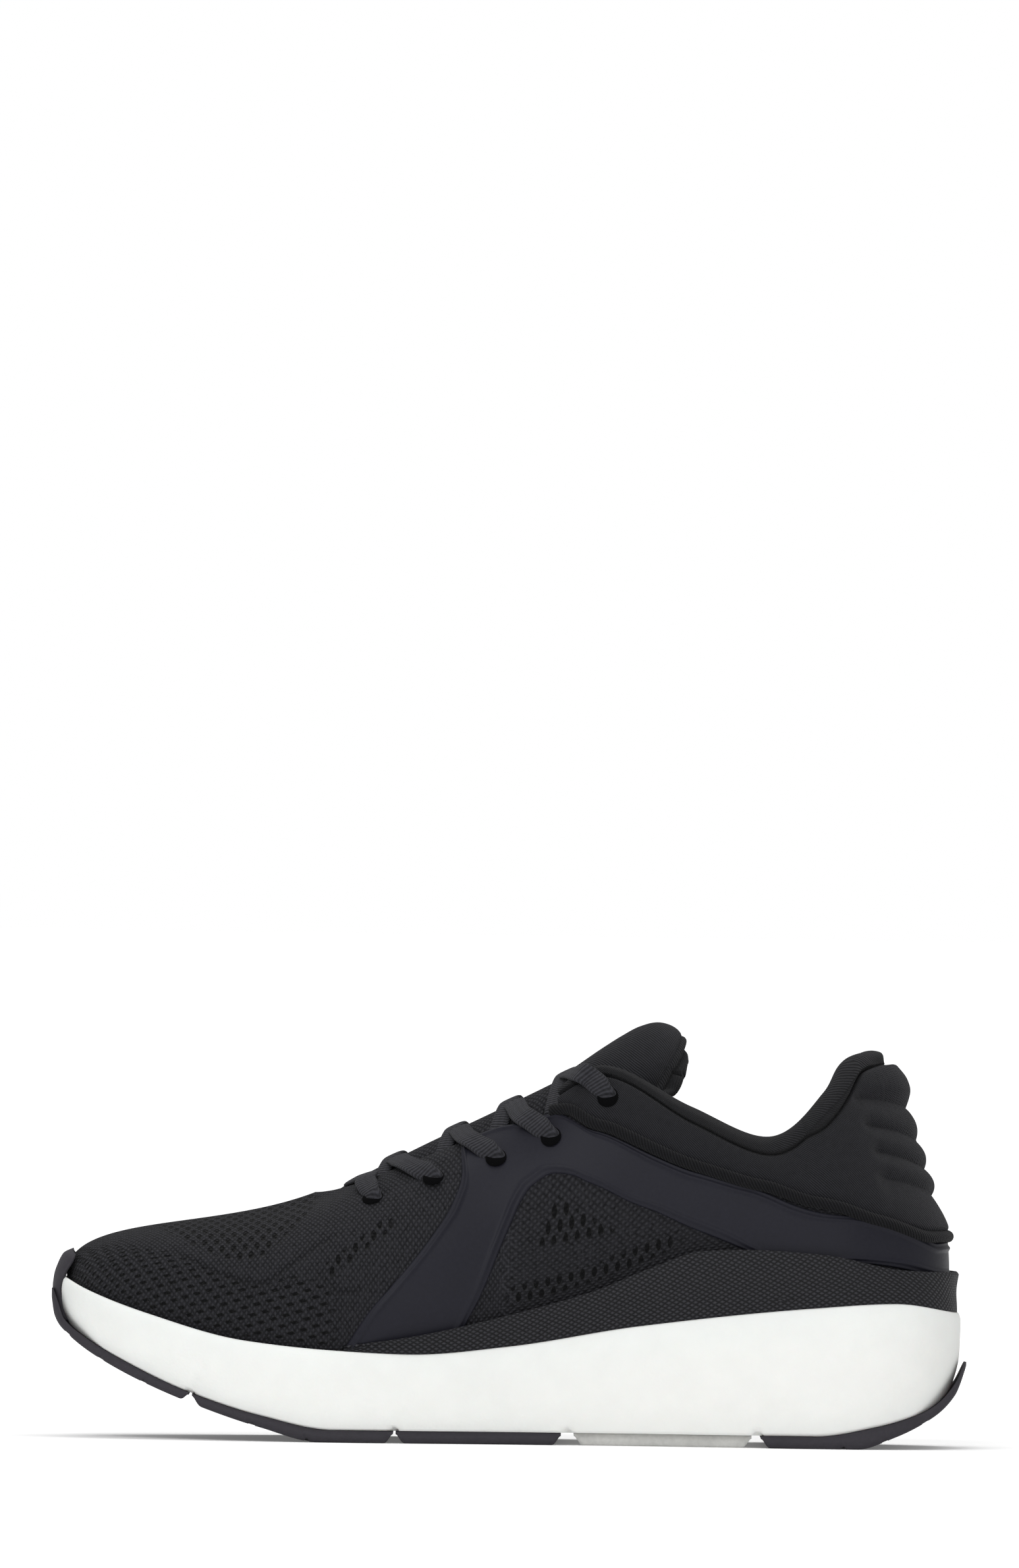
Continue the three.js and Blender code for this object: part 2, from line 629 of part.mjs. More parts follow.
function tongueBase() {
  return panel(18, 10, 1, (a, b, c) => {
    const x = lerp(TONGUE_FRONT, TONGUE_SPLIT - 0.4, a);
    const thickness = lerp(TONGUE.base, 7, smooth(x, -6, 20));
    return tonguePoint(x - 1.2 * c * a, 2 * b - 1, c * thickness);
  });
}

function tongueTopLayer(from, to) {
  return panel(8, 10, 1, (a, b, c) => {
    const across = 2 * b - 1;
    const end = TONGUE_END + 8 * across * across;
    const x = lerp(TONGUE_SPLIT + 0.4, end, a);
    return tonguePoint(x, across * (1 - 0.05 * a), lerp(from, to, c));
  });
}

// ---------- lacing ----------
const LACE_OUTSIDE = OVERLAY_CLEAR + OVERLAY + LACE.thickness / 2 + GAP;
const LACE_INSIDE = -5.6;

// A knot of the lace on the skin; facing says which way its upper face looks.
function laceKnot(side, [t, v], offset, facing) {
  const place = side === 'lateral' ? 1 - t : t;
  const up = typeof facing === 'number' ? skinNormal(place, v).multiplyScalar(facing) : facing;
  return { point: layer(place, v, offset), up };
}

// From above an eyelet, through it, to below it: the lace turns over round the facing.
function throughEyelet(side, row, sign, depth) {
  const [t, v] = eyelets[row];
  const place = side === 'lateral' ? 1 - t : t;
  const toEdge = skin(place, v + 0.01).sub(skin(place, v)).normalize();
  return [
    laceKnot(side, [t, v], LACE_OUTSIDE - 1, toEdge.clone().multiplyScalar(-0.8 * sign)
      .addScaledVector(skinNormal(place, v), 0.6 * sign)),
    laceKnot(side, [t, v], depth + 1.6, toEdge.clone().multiplyScalar(-sign)),
  ];
}

// One leg: in at an eyelet, under the facing, across the tongue and over the other facing.
function laceLeg(side, row, rise, sign) {
  const other = side === 'medial' ? 'lateral' : 'medial';
  const from = eyelets[row];
  const to = eyelets[row + 1];
  const toward = (a, b, share, v) => [lerp(a[0], b[0], share), lerp(a[1], v, Math.min(share * 2.4, 1))];
  const crownX = Math.min((skin(from[0], 1).x + skin(to[0], 1).x) / 2, TONGUE_SPLIT - 6);
  const crown = tonguePoint(crownX, 0, -LACE.thickness / 2 - 0.5 - rise);
  return [
    ...throughEyelet(side, row, sign, LACE_INSIDE),
    laceKnot(side, toward(from, to, 0.16, 0.97), LACE_INSIDE, -sign),
    laceKnot(side, toward(from, to, 0.36, 0.985), LACE_INSIDE + 0.2, -sign),
    { point: crown, up: vec(-0.42, 0, 0.9).multiplyScalar(-sign) },
    laceKnot(other, toward(to, from, 0.36, 0.99), LACE_OUTSIDE + 0.6, -sign),
    laceKnot(other, toward(to, from, 0.14, 0.97), LACE_OUTSIDE + 0.3, -sign),
  ];
}

// Straight bar over the front of the throat that joins the two first eyelets.
function laceBar(sign) {
  const [t, v] = eyelets[0];
  const crown = tonguePoint(-50, 0, -LACE.thickness / 2 - 0.6);
  return [
    laceKnot('medial', [t - 0.004, lerp(v, 1, 0.5)], LACE_OUTSIDE + 0.2, sign),
    { point: crown, up: vec(-0.4, 0, 0.9).multiplyScalar(sign) },
    laceKnot('lateral', [t - 0.004, lerp(v, 1, 0.5)], LACE_OUTSIDE + 0.2, sign),
  ];
}

// The end goes in at the top eyelet and is tucked beside the tongue in one long fold.
const TUCK = [[-0.004, 0.74, -9.6], [-0.022, 0.63, -9], [-0.05, 0.56, -7.4], [-0.08, 0.52, -6.4],
  [-0.104, 0.47, -6.4], [-0.112, 0.4, -6.4], [-0.1, 0.34, -6.4], [-0.078, 0.33, -6.4], [-0.056, 0.35, -7]];
const AGLET_END = [-0.024, 0.4, -8];

function laceTail(side, sign) {
  const [top] = eyelets[4];
  return [
    ...throughEyelet(side, 4, sign, LACE_INSIDE - 2.6),
    ...TUCK.map(([dt, v, offset]) => laceKnot(side, [top + dt, v], offset, -sign)),
  ];
}

// Whole lace, from the medial end to the lateral end; it crosses itself over the tongue.
function laceKnots() {
  const sideOf = (row, first) => (row % 2 === 0 ? first : { medial: 'lateral', lateral: 'medial' }[first]);
  const signOf = (row) => (row % 2 === 0 ? 1 : -1);
  const half = (first) => {
    const legs = [0, 1, 2, 3].flatMap((row) => {
      const over = (row % 2 === 0) === (first === 'medial');
      return laceLeg(sideOf(row, first), row, over ? LACE.thickness + 0.5 : 0, signOf(row));
    });
    return [...legs, ...laceTail(first, 1)];
  };
  return [...half('medial').reverse(), ...laceBar(1), ...half('lateral')];
}

const lacePath = smoothPath(laceKnots());
const LACE_STEPS = 2 * (laceKnots().length - 1);
const laceStrip = (grow) => strip(lacePath, LACE_STEPS, LACE.width / 2 + grow, LACE.thickness / 2 + grow, 6);

// Plastic tip beyond the end of the lace.
function aglet(side) {
  const [top] = eyelets[4];
  const knots = laceTail(side, 1);
  const end = knots[knots.length - 1];
  const far = laceKnot(side, [top + AGLET_END[0], AGLET_END[1]], AGLET_END[2], -1);
  const along = far.point.clone().sub(end.point).normalize();
  const start = end.point.clone().addScaledVector(along, GAP);
  const stop = start.clone().addScaledVector(along, AGLET.length);
  const path = (s) => ({ point: start.clone().lerp(stop, s), along, up: end.up.clone() });
  return strip(path, 1, AGLET.radius, AGLET.radius, 8);
}

const COLORS = { knit: 0x2e2e31, overlay: 0x30323a, collar: 0x2a2a2d, cradle: 0x37373c, lace: 0x2b2b2e };

soleUnit();
add('sidewall_cradle', cradle(), COLORS.cradle, 0.7);
add('strobel_board', insoleBoard(), 0xd8d4c8, 0.9);
add('sockliner_foam', sockLayer(SOCK_BASE, SOCK_FOAM), 0x2c2c30, 0.9);
add('sockliner_cloth', sockLayer(SOCK_BASE + SOCK_FOAM + GAP, SOCK_CLOTH), 0x1f1f22, 0.9);
add('knit_upper', cut(shell(LEVELS, 0, -KNIT), [...eyeletCutters, pipingCutter()]), COLORS.knit, 0.9);
add('toe_puff', board(0, 5, 4), 0x55555a, 0.8);
add('heel_counter', board(HEEL, 7, 4), 0x606065, 0.6);
add('overlay_medial', overlay('medial'), COLORS.overlay, 0.5);
add('overlay_lateral', overlay('lateral'), COLORS.overlay, 0.5);
add('eyestay_medial', cut(eyestay('medial'), [laceStrip(GAP)]), 0x3a3a3e, 0.8);
add('eyestay_lateral', cut(eyestay('lateral'), [laceStrip(GAP)]), 0x3a3a3e, 0.8);
add('collar_panel', collarPanel(), COLORS.collar, 0.9);
add('collar_foam', collarFoam(), 0xc8b060, 0.9);
add('collar_lining', cut(collarLining(), [laceStrip(GAP)]), COLORS.collar, 0.9);
add('piping', strip(pipingPath(), 32, PIPING_RADIUS, PIPING_RADIUS, 8), COLORS.collar, 0.8);
add('tongue_base', cut(tongueBase(), [laceStrip(GAP)]), COLORS.knit, 0.9);
add('tongue_top_shell', tongueTopLayer(0, TONGUE.shell), COLORS.collar, 0.9);
add('tongue_top_foam', tongueTopLayer(TONGUE.shell + GAP, TONGUE.top - TONGUE.lining - GAP), 0xc8b060, 0.9);
add('tongue_top_lining', tongueTopLayer(TONGUE.top - TONGUE.lining, TONGUE.top), COLORS.collar, 0.9);
add('lace', laceStrip(0), COLORS.lace, 0.9);
add('aglet_medial', aglet('medial'), 0x18181a, 0.4);
add('aglet_lateral', aglet('lateral'), 0x18181a, 0.4);

export default group;
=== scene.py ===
"""Laced running shoe for the right foot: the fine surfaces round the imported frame.

The upper is one skin. t runs round the plan outline (0 toe, 0.5 heel, medial side first) and v runs
from the sole (0) to the throat and collar edge (1). Every layer is that skin moved along its normal.
Shapes are worked out in millimetres and scaled by the frame.
"""
import math

import bmesh
import bpy
import numpy as np
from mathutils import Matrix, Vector


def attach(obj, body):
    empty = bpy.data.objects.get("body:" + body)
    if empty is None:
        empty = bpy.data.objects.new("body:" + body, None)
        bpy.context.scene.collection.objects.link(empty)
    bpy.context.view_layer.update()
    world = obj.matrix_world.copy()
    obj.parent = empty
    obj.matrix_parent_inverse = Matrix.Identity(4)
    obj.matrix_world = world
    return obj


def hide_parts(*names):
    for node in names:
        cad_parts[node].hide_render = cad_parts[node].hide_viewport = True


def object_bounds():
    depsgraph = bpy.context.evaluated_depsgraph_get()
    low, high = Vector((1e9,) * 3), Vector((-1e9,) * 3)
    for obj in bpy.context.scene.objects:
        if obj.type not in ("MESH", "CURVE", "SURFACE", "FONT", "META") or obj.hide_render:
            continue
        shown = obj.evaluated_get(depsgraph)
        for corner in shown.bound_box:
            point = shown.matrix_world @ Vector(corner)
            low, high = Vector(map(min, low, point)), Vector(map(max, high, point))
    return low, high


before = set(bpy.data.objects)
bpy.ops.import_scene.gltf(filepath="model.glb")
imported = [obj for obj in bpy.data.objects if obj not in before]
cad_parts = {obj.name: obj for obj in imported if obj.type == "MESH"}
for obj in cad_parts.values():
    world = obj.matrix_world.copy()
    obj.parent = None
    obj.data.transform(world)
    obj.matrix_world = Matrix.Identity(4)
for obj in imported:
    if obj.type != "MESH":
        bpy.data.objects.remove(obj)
cad_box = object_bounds()

# ---------------------------------------------------------------- driving dimensions
LENGTH = 284.6  # overall length, toe rubber to heel rubber
MM = (cad_box[1][0] - cad_box[0][0]) / LENGTH  # metres per millimetre of the design
SHOE, TONGUE_TOP = "shoe", "tongue_top"

UNDERFOOT_INSET = 7.0  # how far the skin tucks in below the foot
SEAM_ALLOWANCE = 1.2
PIPING_RADIUS = 1.85
TONGUE_FRONT, TONGUE_SPLIT, TONGUE_TIP = -72.0, 21.0, 51.2
FLEX_NOTCHES = (-98.2, -35.0, 19.0, 77.2)
SIPES = (-136.7, -126.2, -112.9, -79.1, -62, 103.9, 116.8, 129.1)

# Plan outline of the sole with the throat and collar edge above each of its points.
STATIONS = [
    ((-140, -9), (-60, -3, 77)),
    ((-135.5, -24), (-59, -6, 77)),
    ((-124, -35.5), (-57, -8.5, 77.2)),
    ((-104, -44.5), (-53, -10.5, 78.2)),
    ((-80, -50.5), (-45, -12.5, 80.8)),
    ((-54, -53), (-33, -14, 85.8)),
    ((-26, -49), (-16, -16, 93)),
    ((2, -43.5), (3, -18.5, 101.3)),
    ((30, -41.2), (27, -23, 117.5)),
    ((58, -41.5), (55, -33, 105.3)),
    ((86, -42.3), (80, -35, 96.8)),
    ((110, -40.5), (97, -30, 110.5)),
    ((127, -33), (105, -21, 121)),
    ((137, -19), (112, -10.5, 124)),
    ((140, 1), (114.5, 1, 124.2)),
    ((137.5, 20), (112, 12.5, 123.4)),
    ((128, 35), (105, 23, 119.5)),
    ((110, 42.5), (97, 32, 108)),
    ((86, 44.5), (80, 37, 93.2)),
    ((58, 45.8), (55, 35, 101.5)),
    ((30, 47.5), (27, 24, 114.5)),
    ((2, 50), (3, 18.5, 100)),
    ((-26, 52.5), (-16, 16, 92.2)),
    ((-54, 50.5), (-33, 13.5, 85.4)),
    ((-80, 44), (-45, 11, 80.5)),
    ((-104, 34), (-53, 8, 78)),
    ((-124, 19.5), (-57, 4.5, 77.2)),
    ((-135.5, 6), (-59, 0.5, 77)),
]


# ---------------------------------------------------------------- small maths
def profile(points):
    """Smooth function through a few points that never overshoots them."""
    xs = np.array([p[0] for p in points], float)
    ys = np.array([p[1] for p in points], float)
    slopes = np.diff(ys) / np.diff(xs)
    product = slopes[:-1] * slopes[1:]
    total = slopes[:-1] + slopes[1:]
    inner = np.where(product > 0, 2 * product / np.where(total == 0, 1, total), 0)
    tangents = np.concatenate([slopes[:1], inner, slopes[-1:]])

    def at(x):
        x = np.asarray(x, float)
        i = np.clip(np.searchsorted(xs, x, side="right") - 1, 0, len(xs) - 2)
        width = xs[i + 1] - xs[i]
        s = np.clip((x - xs[i]) / width, 0, 1)
        r = 1 - s
        rise = ys[i] * (1 + 2 * s) * r * r + tangents[i] * width * s * r * r
        return rise + ys[i + 1] * (3 - 2 * s) * s * s - tangents[i + 1] * width * s * s * r

    return at


def smooth(x, low, high):
    s = np.clip((np.asarray(x, float) - low) / (high - low), 0, 1)
    return s * s * (3 - 2 * s)


def mix(a, b, s):
    return a + (b - a) * s


def bump(x, middle, width):
    """1 at the middle, falling smoothly to 0 at the width either side."""
    return 1 - smooth(np.abs(np.asarray(x, float) - middle), 0, width)


def through(a, b, c, d, w):
    """Smooth run from b to c, led by the points before and after them."""
    square = (2 * a - 5 * b + 4 * c - d) * w**2
    return 0.5 * (2 * b + (c - a) * w + square + (3 * b - a - 3 * c + d) * w**3)


def closed_curve(points):
    pts = np.array(points, float)
    count = len(pts)

    def at(t):
        s = (np.asarray(t, float) % 1.0) * count
        i = np.floor(s).astype(int) % count
        w = (s - np.floor(s))[..., None]
        return through(*(pts[(i + k) % count] for k in (-1, 0, 1, 2)), w)

    return at


def open_curve(points, s):
    """The same through points that don't close, at index positions s."""
    led = np.vstack([2 * points[0] - points[1], points, 2 * points[-1] - points[-2]])
    i = np.clip(np.floor(s).astype(int), 0, len(points) - 2)
    return through(*(led[i + k] for k in range(4)), (s - i)[:, None])


def unit(vectors):
    return vectors / np.maximum(np.linalg.norm(vectors, axis=-1, keepdims=True), 1e-9)


def with_z(points, z):
    points = points.copy()
    points[..., 2] = z
    return points


# ---------------------------------------------------------------- heights and lines of the shoe
sole_bottom = profile([(-142.3, 44.9), (-141, 37.6), (-138.5, 33.6), (-124.9, 23.6), (-100, 12.2),
                       (-76, 4.2), (-58, 0), (108, 0), (120, 3.8), (132, 10.2), (138.5, 16.8),
                       (142.5, 26.7)])
foam_bottom = profile([(-141.5, 46), (-139.8, 41.5), (-138, 36.8), (-131, 31), (-118.8, 24), (-100, 15.4),
                       (-76, 7.9), (-54, 3.9), (95, 3.9), (114, 7), (126, 10.6), (132.5, 14),
                       (138.5, 20.6), (141.5, 27)])
foam_top = profile([(-141, 51.6), (-131, 46), (-112, 39), (-82, 31.2), (-52, 28.4), (-30, 27.6),
                    (0, 30.4), (40, 37.2), (95, 43.6), (120, 45.2), (141, 42)])
cradle_top = profile([(-52, 29.7), (-30, 33.1), (0, 40.2), (26, 47.9), (44, 55.4), (60, 60.8),
                      (74, 61.4), (97, 60.2), (122, 55.6), (141, 54.8)])
footbed = profile([(-141, 42), (-120, 33.5), (-90, 25), (-55, 21.5), (0, 22.5), (50, 29),
                   (90, 33), (141, 35)])
tongue_ridge = profile([(-74, 68.5), (-60, 73.5), (-50, 79.8), (-28, 91.4), (-4, 103.2), (20.7, 116),
                        (28.9, 121.2), (34.6, 124.8), (40, 127.8), (46, 129.6), (56, 130.4)])
tongue_half = profile([(-74, 12), (-40, 18), (0, 20.5), (18, 20), (34, 20.5), (60, 22)])

PIPING_LINE = [(14.5, 104.6), (26, 99.2), (43, 92.4), (60, 86), (78, 81), (95, 76), (112, 71.2),
               (129, 65.8), (137, 64.4)]
COLLAR_SEAM = [(26, 114.6), (33, 115.6), (40, 111), (50, 104), (64, 97.4), (78, 94.2), (88, 95.4),
               (97, 99.8), (103, 107.2), (108, 116.4), (115, 121.4)]
EYELETS = [(-42.5, 75.8), (-23.8, 81.8), (-4.6, 88.4), (12.4, 95.4), (29.6, 108)]

plan_curve = closed_curve([(x, y, 0) for (x, y), _ in STATIONS])
edge_curve = closed_curve([edge for _, edge in STATIONS])


def outward(t):
    along = plan_curve(np.asarray(t) + 1e-3) - plan_curve(np.asarray(t) - 1e-3)
    return unit(np.stack([along[..., 1], -along[..., 0], 0 * along[..., 0]], axis=-1))


def plan_point(t, inset, height):
    """Point of the plan outline moved in by inset, at the height that the profile gives there."""
    point = plan_curve(t) - outward(t) * np.asarray(inset, float)[..., None]
    return with_z(point, height(point[..., 0]) if callable(height) else height)


def skin(t, v):
    """Outer skin of the upper."""
    t, v = np.broadcast_arrays(np.asarray(t, float), np.asarray(v, float))
    foot = plan_point(t, UNDERFOOT_INSET, footbed)
    foot[..., 2] += 0.6
    edge = edge_curve(t)
    out = outward(t)
    x = plan_curve(t)[..., 0]
    toe = 1 - smooth(x, -132, -50)
    heel = smooth(x, 90, 138)
    reach = (edge - foot) * np.array([1, 1, 0])
    rise = edge[..., 2] - foot[..., 2]

    def blend(middle, at_toe, at_heel):
        return middle + (at_toe - middle) * toe + (at_heel - middle) * heel

    def control(share, lift, stand):
        point = foot + reach * np.asarray(share)[..., None] + out * np.asarray(stand)[..., None]
        return with_z(point, foot[..., 2] + rise * lift)

    controls = [
        foot,
        control(0 * x, blend(0.2, 0.36, 0.2), blend(8, 10, 6)),
        control(blend(0, 0, 0.1), blend(0.5, 0.84, 0.5), blend(9, 9, 5)),
        control(blend(0.35, 0.5, 0.5), blend(0.86, 0.6, 0.82), blend(1, 0, 0)),
        edge,
    ]
    w = 1 - v
    weights = [w**4, 4 * v * w**3, 6 * v * v * w * w, 4 * v**3 * w, v**4]
    return sum(point * weight[..., None] for point, weight in zip(controls, weights))


def skin_normal(t, v):
    e = 2e-3
    along = skin(t + e, v) - skin(t - e, v)
    up = skin(t, np.minimum(v + e, 1)) - skin(t, np.maximum(v - e, 0))
    return unit(np.cross(along, up))


def layer(t, v, offset):
    t, v, offset = np.broadcast_arrays(*(np.asarray(a, float) for a in (t, v, offset)))
    return skin(t, v) + skin_normal(t, v) * offset[..., None]


def stretch(t, v):
    """Length of the skin per unit of v."""
    high = np.minimum(np.asarray(v, float) + 0.01, 1)
    low = np.asarray(v, float) - 0.01
    return np.linalg.norm(skin(t, high) - skin(t, low), axis=-1) / (high - low)


def height_to_v(t, z):
    low = 0 * np.asarray(t, float) + 0 * np.asarray(z, float)
    high = low + 0.75
    for _ in range(24):
        middle = (low + high) / 2
        below = skin(t, middle)[..., 2] < z
        low, high = np.where(below, middle, low), np.where(below, high, middle)
    return low


def locate(points):
    """(t, v) on the medial side where the skin shows at each (x, z) seen square on."""
    target = np.array(points, float)
    t = 0.5 * (target[:, 0] + 140) / 280
    v = 0 * t + 0.6
    e = 1e-3
    for _ in range(60):
        p = skin(t, v)
        dt = (skin(t + e, v) - p) / e
        dv = (skin(t, v + e) - p) / e
        det = dt[:, 0] * dv[:, 2] - dv[:, 0] * dt[:, 2]
        dx, dz = target[:, 0] - p[:, 0], target[:, 1] - p[:, 2]
        t = np.clip(t + 0.6 * (dx * dv[:, 2] - dv[:, 0] * dz) / det, 0.005, 0.5)
        v = np.clip(v + 0.6 * (dt[:, 0] * dz - dx * dt[:, 2]) / det, 0.02, 1)
    return t, v


def skin_line(points):
    line = profile(list(zip(*locate(points))))
    return lambda t: line(np.where(np.asarray(t) > 0.5, 1 - np.asarray(t), t))


piping_v = skin_line(PIPING_LINE)
seam_v = skin_line(COLLAR_SEAM)
eyelets = list(zip(*locate(EYELETS)))
COLLAR_START = float(locate(PIPING_LINE[:1])[0][0])
COLLAR_END = 1 - COLLAR_START
HEEL = 0.5


# ---------------------------------------------------------------- mesh making
def finish_mesh(name, bm, material, body=SHOE):
    mesh = bpy.data.meshes.new(name)
    bm.to_mesh(mesh)
    bm.free()
    piece = bpy.data.objects.new(name, mesh)
    bpy.context.scene.collection.objects.link(piece)
    mesh.materials.append(material)
    mesh.shade_smooth()
    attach(piece, body)
    return piece


def run_of(points, axis):
    """Length walked along one direction of a grid of points."""
    steps = np.linalg.norm(np.diff(points, axis=axis), axis=-1)
    return np.cumsum(np.insert(steps, 0, 0, axis=axis), axis=axis)


def sheet(name, nu, nv, place, material, body=SHOE, thickness=0.0, closed=False, pattern=None,
          zones=None):
    """A grid laid on place(u, v), with a UV map in centimetres along and across it.

    thickness > 0 gives the sheet a wall on its inner side; closed grids are merged and point outwards.
    zones maps the name of an attribute to a function of the points: a share from 0 to 1, or a place
    in millimetres.
    """
    bm = bmesh.new()
    bmesh.ops.create_grid(bm, x_segments=nu, y_segments=nv, size=0.5)
    flat = np.array([vert.co[:2] for vert in bm.verts]) + 0.5
    ij = np.rint(flat * (nu, nv)).astype(int)
    u, v = np.meshgrid(np.arange(nu + 1) / nu, np.arange(nv + 1) / nv, indexing="ij")
    points = place(u, v)
    if pattern is None:
        pattern_uv = np.stack([run_of(points, 0), run_of(points, 1)], axis=-1) / 10
    else:
        pattern_uv = pattern(u, v, points) / 10
    uv_layer = bm.loops.layers.uv.new("weave")
    marks = [(bm.verts.layers.float.new(zone), value(u, v, points)) for zone, value in (zones or {}).items()]
    for vert, (i, j) in zip(bm.verts, ij):
        vert.co = Vector(points[i, j] * MM)
        for mark, value in marks:
            vert[mark] = float(value[i, j])
        for loop in vert.link_loops:
            loop[uv_layer].uv = pattern_uv[i, j]
    if closed:
        bmesh.ops.remove_doubles(bm, verts=bm.verts, dist=1e-6)
        bmesh.ops.dissolve_degenerate(bm, dist=1e-7, edges=bm.edges)
        bmesh.ops.recalc_face_normals(bm, faces=bm.faces)
    piece = finish_mesh(name, bm, material, body)
    if thickness:
        wall = piece.modifiers.new("wall", "SOLIDIFY")
        wall.thickness = thickness * MM
        wall.offset = -1
        wall.use_even_offset = False
    return piece


def spine(height, inset):
    """Line on which the two sides of a flat cap meet."""
    def at(t):
        middle = (plan_point(t, inset, height) + plan_point(1 - t, inset, height)) / 2
        return with_z(middle, height(middle[..., 0]))
    return at


def corner_arc(point, before, after, radius, s):
    """Loop at share s of the way round a corner, each of the three being a function of t."""
    def at(t):
        corner = point(t)
        a = before(t) - corner
        b = after(t) - corner
        start = corner + unit(a) * np.minimum(radius, 0.45 * np.linalg.norm(a, axis=-1))[..., None]
        stop = corner + unit(b) * np.minimum(radius, 0.45 * np.linalg.norm(b, axis=-1))[..., None]
        return start * (1 - s) ** 2 + corner * 2 * s * (1 - s) + stop * s**2
    return at


# ---------------------------------------------------------------- materials
class Value:
    """A socket that takes part in Python arithmetic by adding Math nodes."""

    def __init__(self, finish, socket):
        self.finish, self.socket = finish, socket

    def math(self, operation, *others):
        values = [self.socket] + [getattr(o, "socket", o) for o in others]
        return self.finish.node("ShaderNodeMath", {"operation": operation}, dict(enumerate(values)))

    def flipped(self, operation, other):
        values = [getattr(other, "socket", other), self.socket]
        return self.finish.node("ShaderNodeMath", {"operation": operation}, dict(enumerate(values)))

    def __add__(self, other):
        return self.math("ADD", other)

    def __sub__(self, other):
        return self.math("SUBTRACT", other)

    def __rsub__(self, other):
        return self.flipped("SUBTRACT", other)

    def __mul__(self, other):
        return self.math("MULTIPLY", other)

    def __truediv__(self, other):
        return self.math("DIVIDE", other)

    __radd__ = __add__
    __rmul__ = __mul__

    def wave(self, period, shift=0.0):
        """Sine of the value, from 0 to 1, with the given period."""
        return (self * (2 * math.pi / period) + shift).math("SINE") * 0.5 + 0.5

    def step(self, low, high):
        return self.finish.node("ShaderNodeMapRange", {"interpolation_type": "SMOOTHSTEP", "clamp": True},
                                {0: self.socket, 1: low, 2: high, 3: 0.0, 4: 1.0})


class Finish:
    """One material: a Principled shader and the few nodes that feed it."""

    def __init__(self, name, color, roughness, **constants):
        self.material = bpy.data.materials.new(name)
        self.material.use_nodes = True
        self.tree = self.material.node_tree
        self.shader = self.tree.nodes["Principled BSDF"]
        self.color = color
        self.shader.inputs["Base Color"].default_value = (*color, 1)
        self.shader.inputs["Roughness"].default_value = roughness
        for socket, value in constants.items():
            self.shader.inputs[socket.replace("_", " ")].default_value = value
        place = self.tree.nodes.new("ShaderNodeTexCoord")
        self.place = place.outputs["Object"]
        self.weave = place.outputs["UV"]

    def node(self, kind, settings, values, output=0):
        node = self.tree.nodes.new(kind)
        for key, setting in settings.items():
            setattr(node, key, setting)
        for key, value in values.items():
            value = getattr(value, "socket", value)
            if isinstance(value, bpy.types.NodeSocket):
                self.tree.links.new(value, node.inputs[key])
            else:
                node.inputs[key].default_value = value
        return Value(self, node.outputs[output])

    def axes(self, vector=None, unit=0.1):
        """The three coordinates in millimetres; the weave map holds centimetres."""
        node = self.tree.nodes.new("ShaderNodeSeparateXYZ")
        self.tree.links.new(vector or self.weave, node.inputs[0])
        return [Value(self, out) * (1 / unit) for out in node.outputs]

    def zone(self, name):
        return self.node("ShaderNodeAttribute", {"attribute_name": name}, {}, "Fac")

    def noise(self, scale, detail=3.0):
        return self.node("ShaderNodeTexNoise", {}, {"Vector": self.place, "Scale": scale, "Detail": detail})

    def cells(self, scale):
        return self.node("ShaderNodeTexVoronoi", {}, {"Vector": self.place, "Scale": scale}, "Distance")

    def shade(self, mask, dark, light):
        """Base colour from dark to light shares of the finish's own colour."""
        low = tuple(c * dark for c in self.color) + (1,)
        high = tuple(min(c * light, 1) for c in self.color) + (1,)
        self.set("Base Color", self.blend(mask, low, high))

    def blend(self, mask, low, high):
        return self.node("ShaderNodeMix", {"data_type": "RGBA"}, {0: mask, 6: low, 7: high}, 2)

    def set(self, socket, value):
        self.tree.links.new(value.socket, self.shader.inputs[socket])

    def relief(self, height, depth):
        """Bump as deep as the given millimetres."""
        self.set("Normal", self.node("ShaderNodeBump", {}, {"Height": height, "Distance": depth * MM,
                                                            "Strength": 1.0}))


def srgb(*levels):
    return tuple(((c / 255 + 0.055) / 1.055) ** 2.4 if c > 10 else c / 255 / 12.92 for c in levels)


HALF_GIRTH = 345.0  # millimetres of knit round one flank, from toe to heel


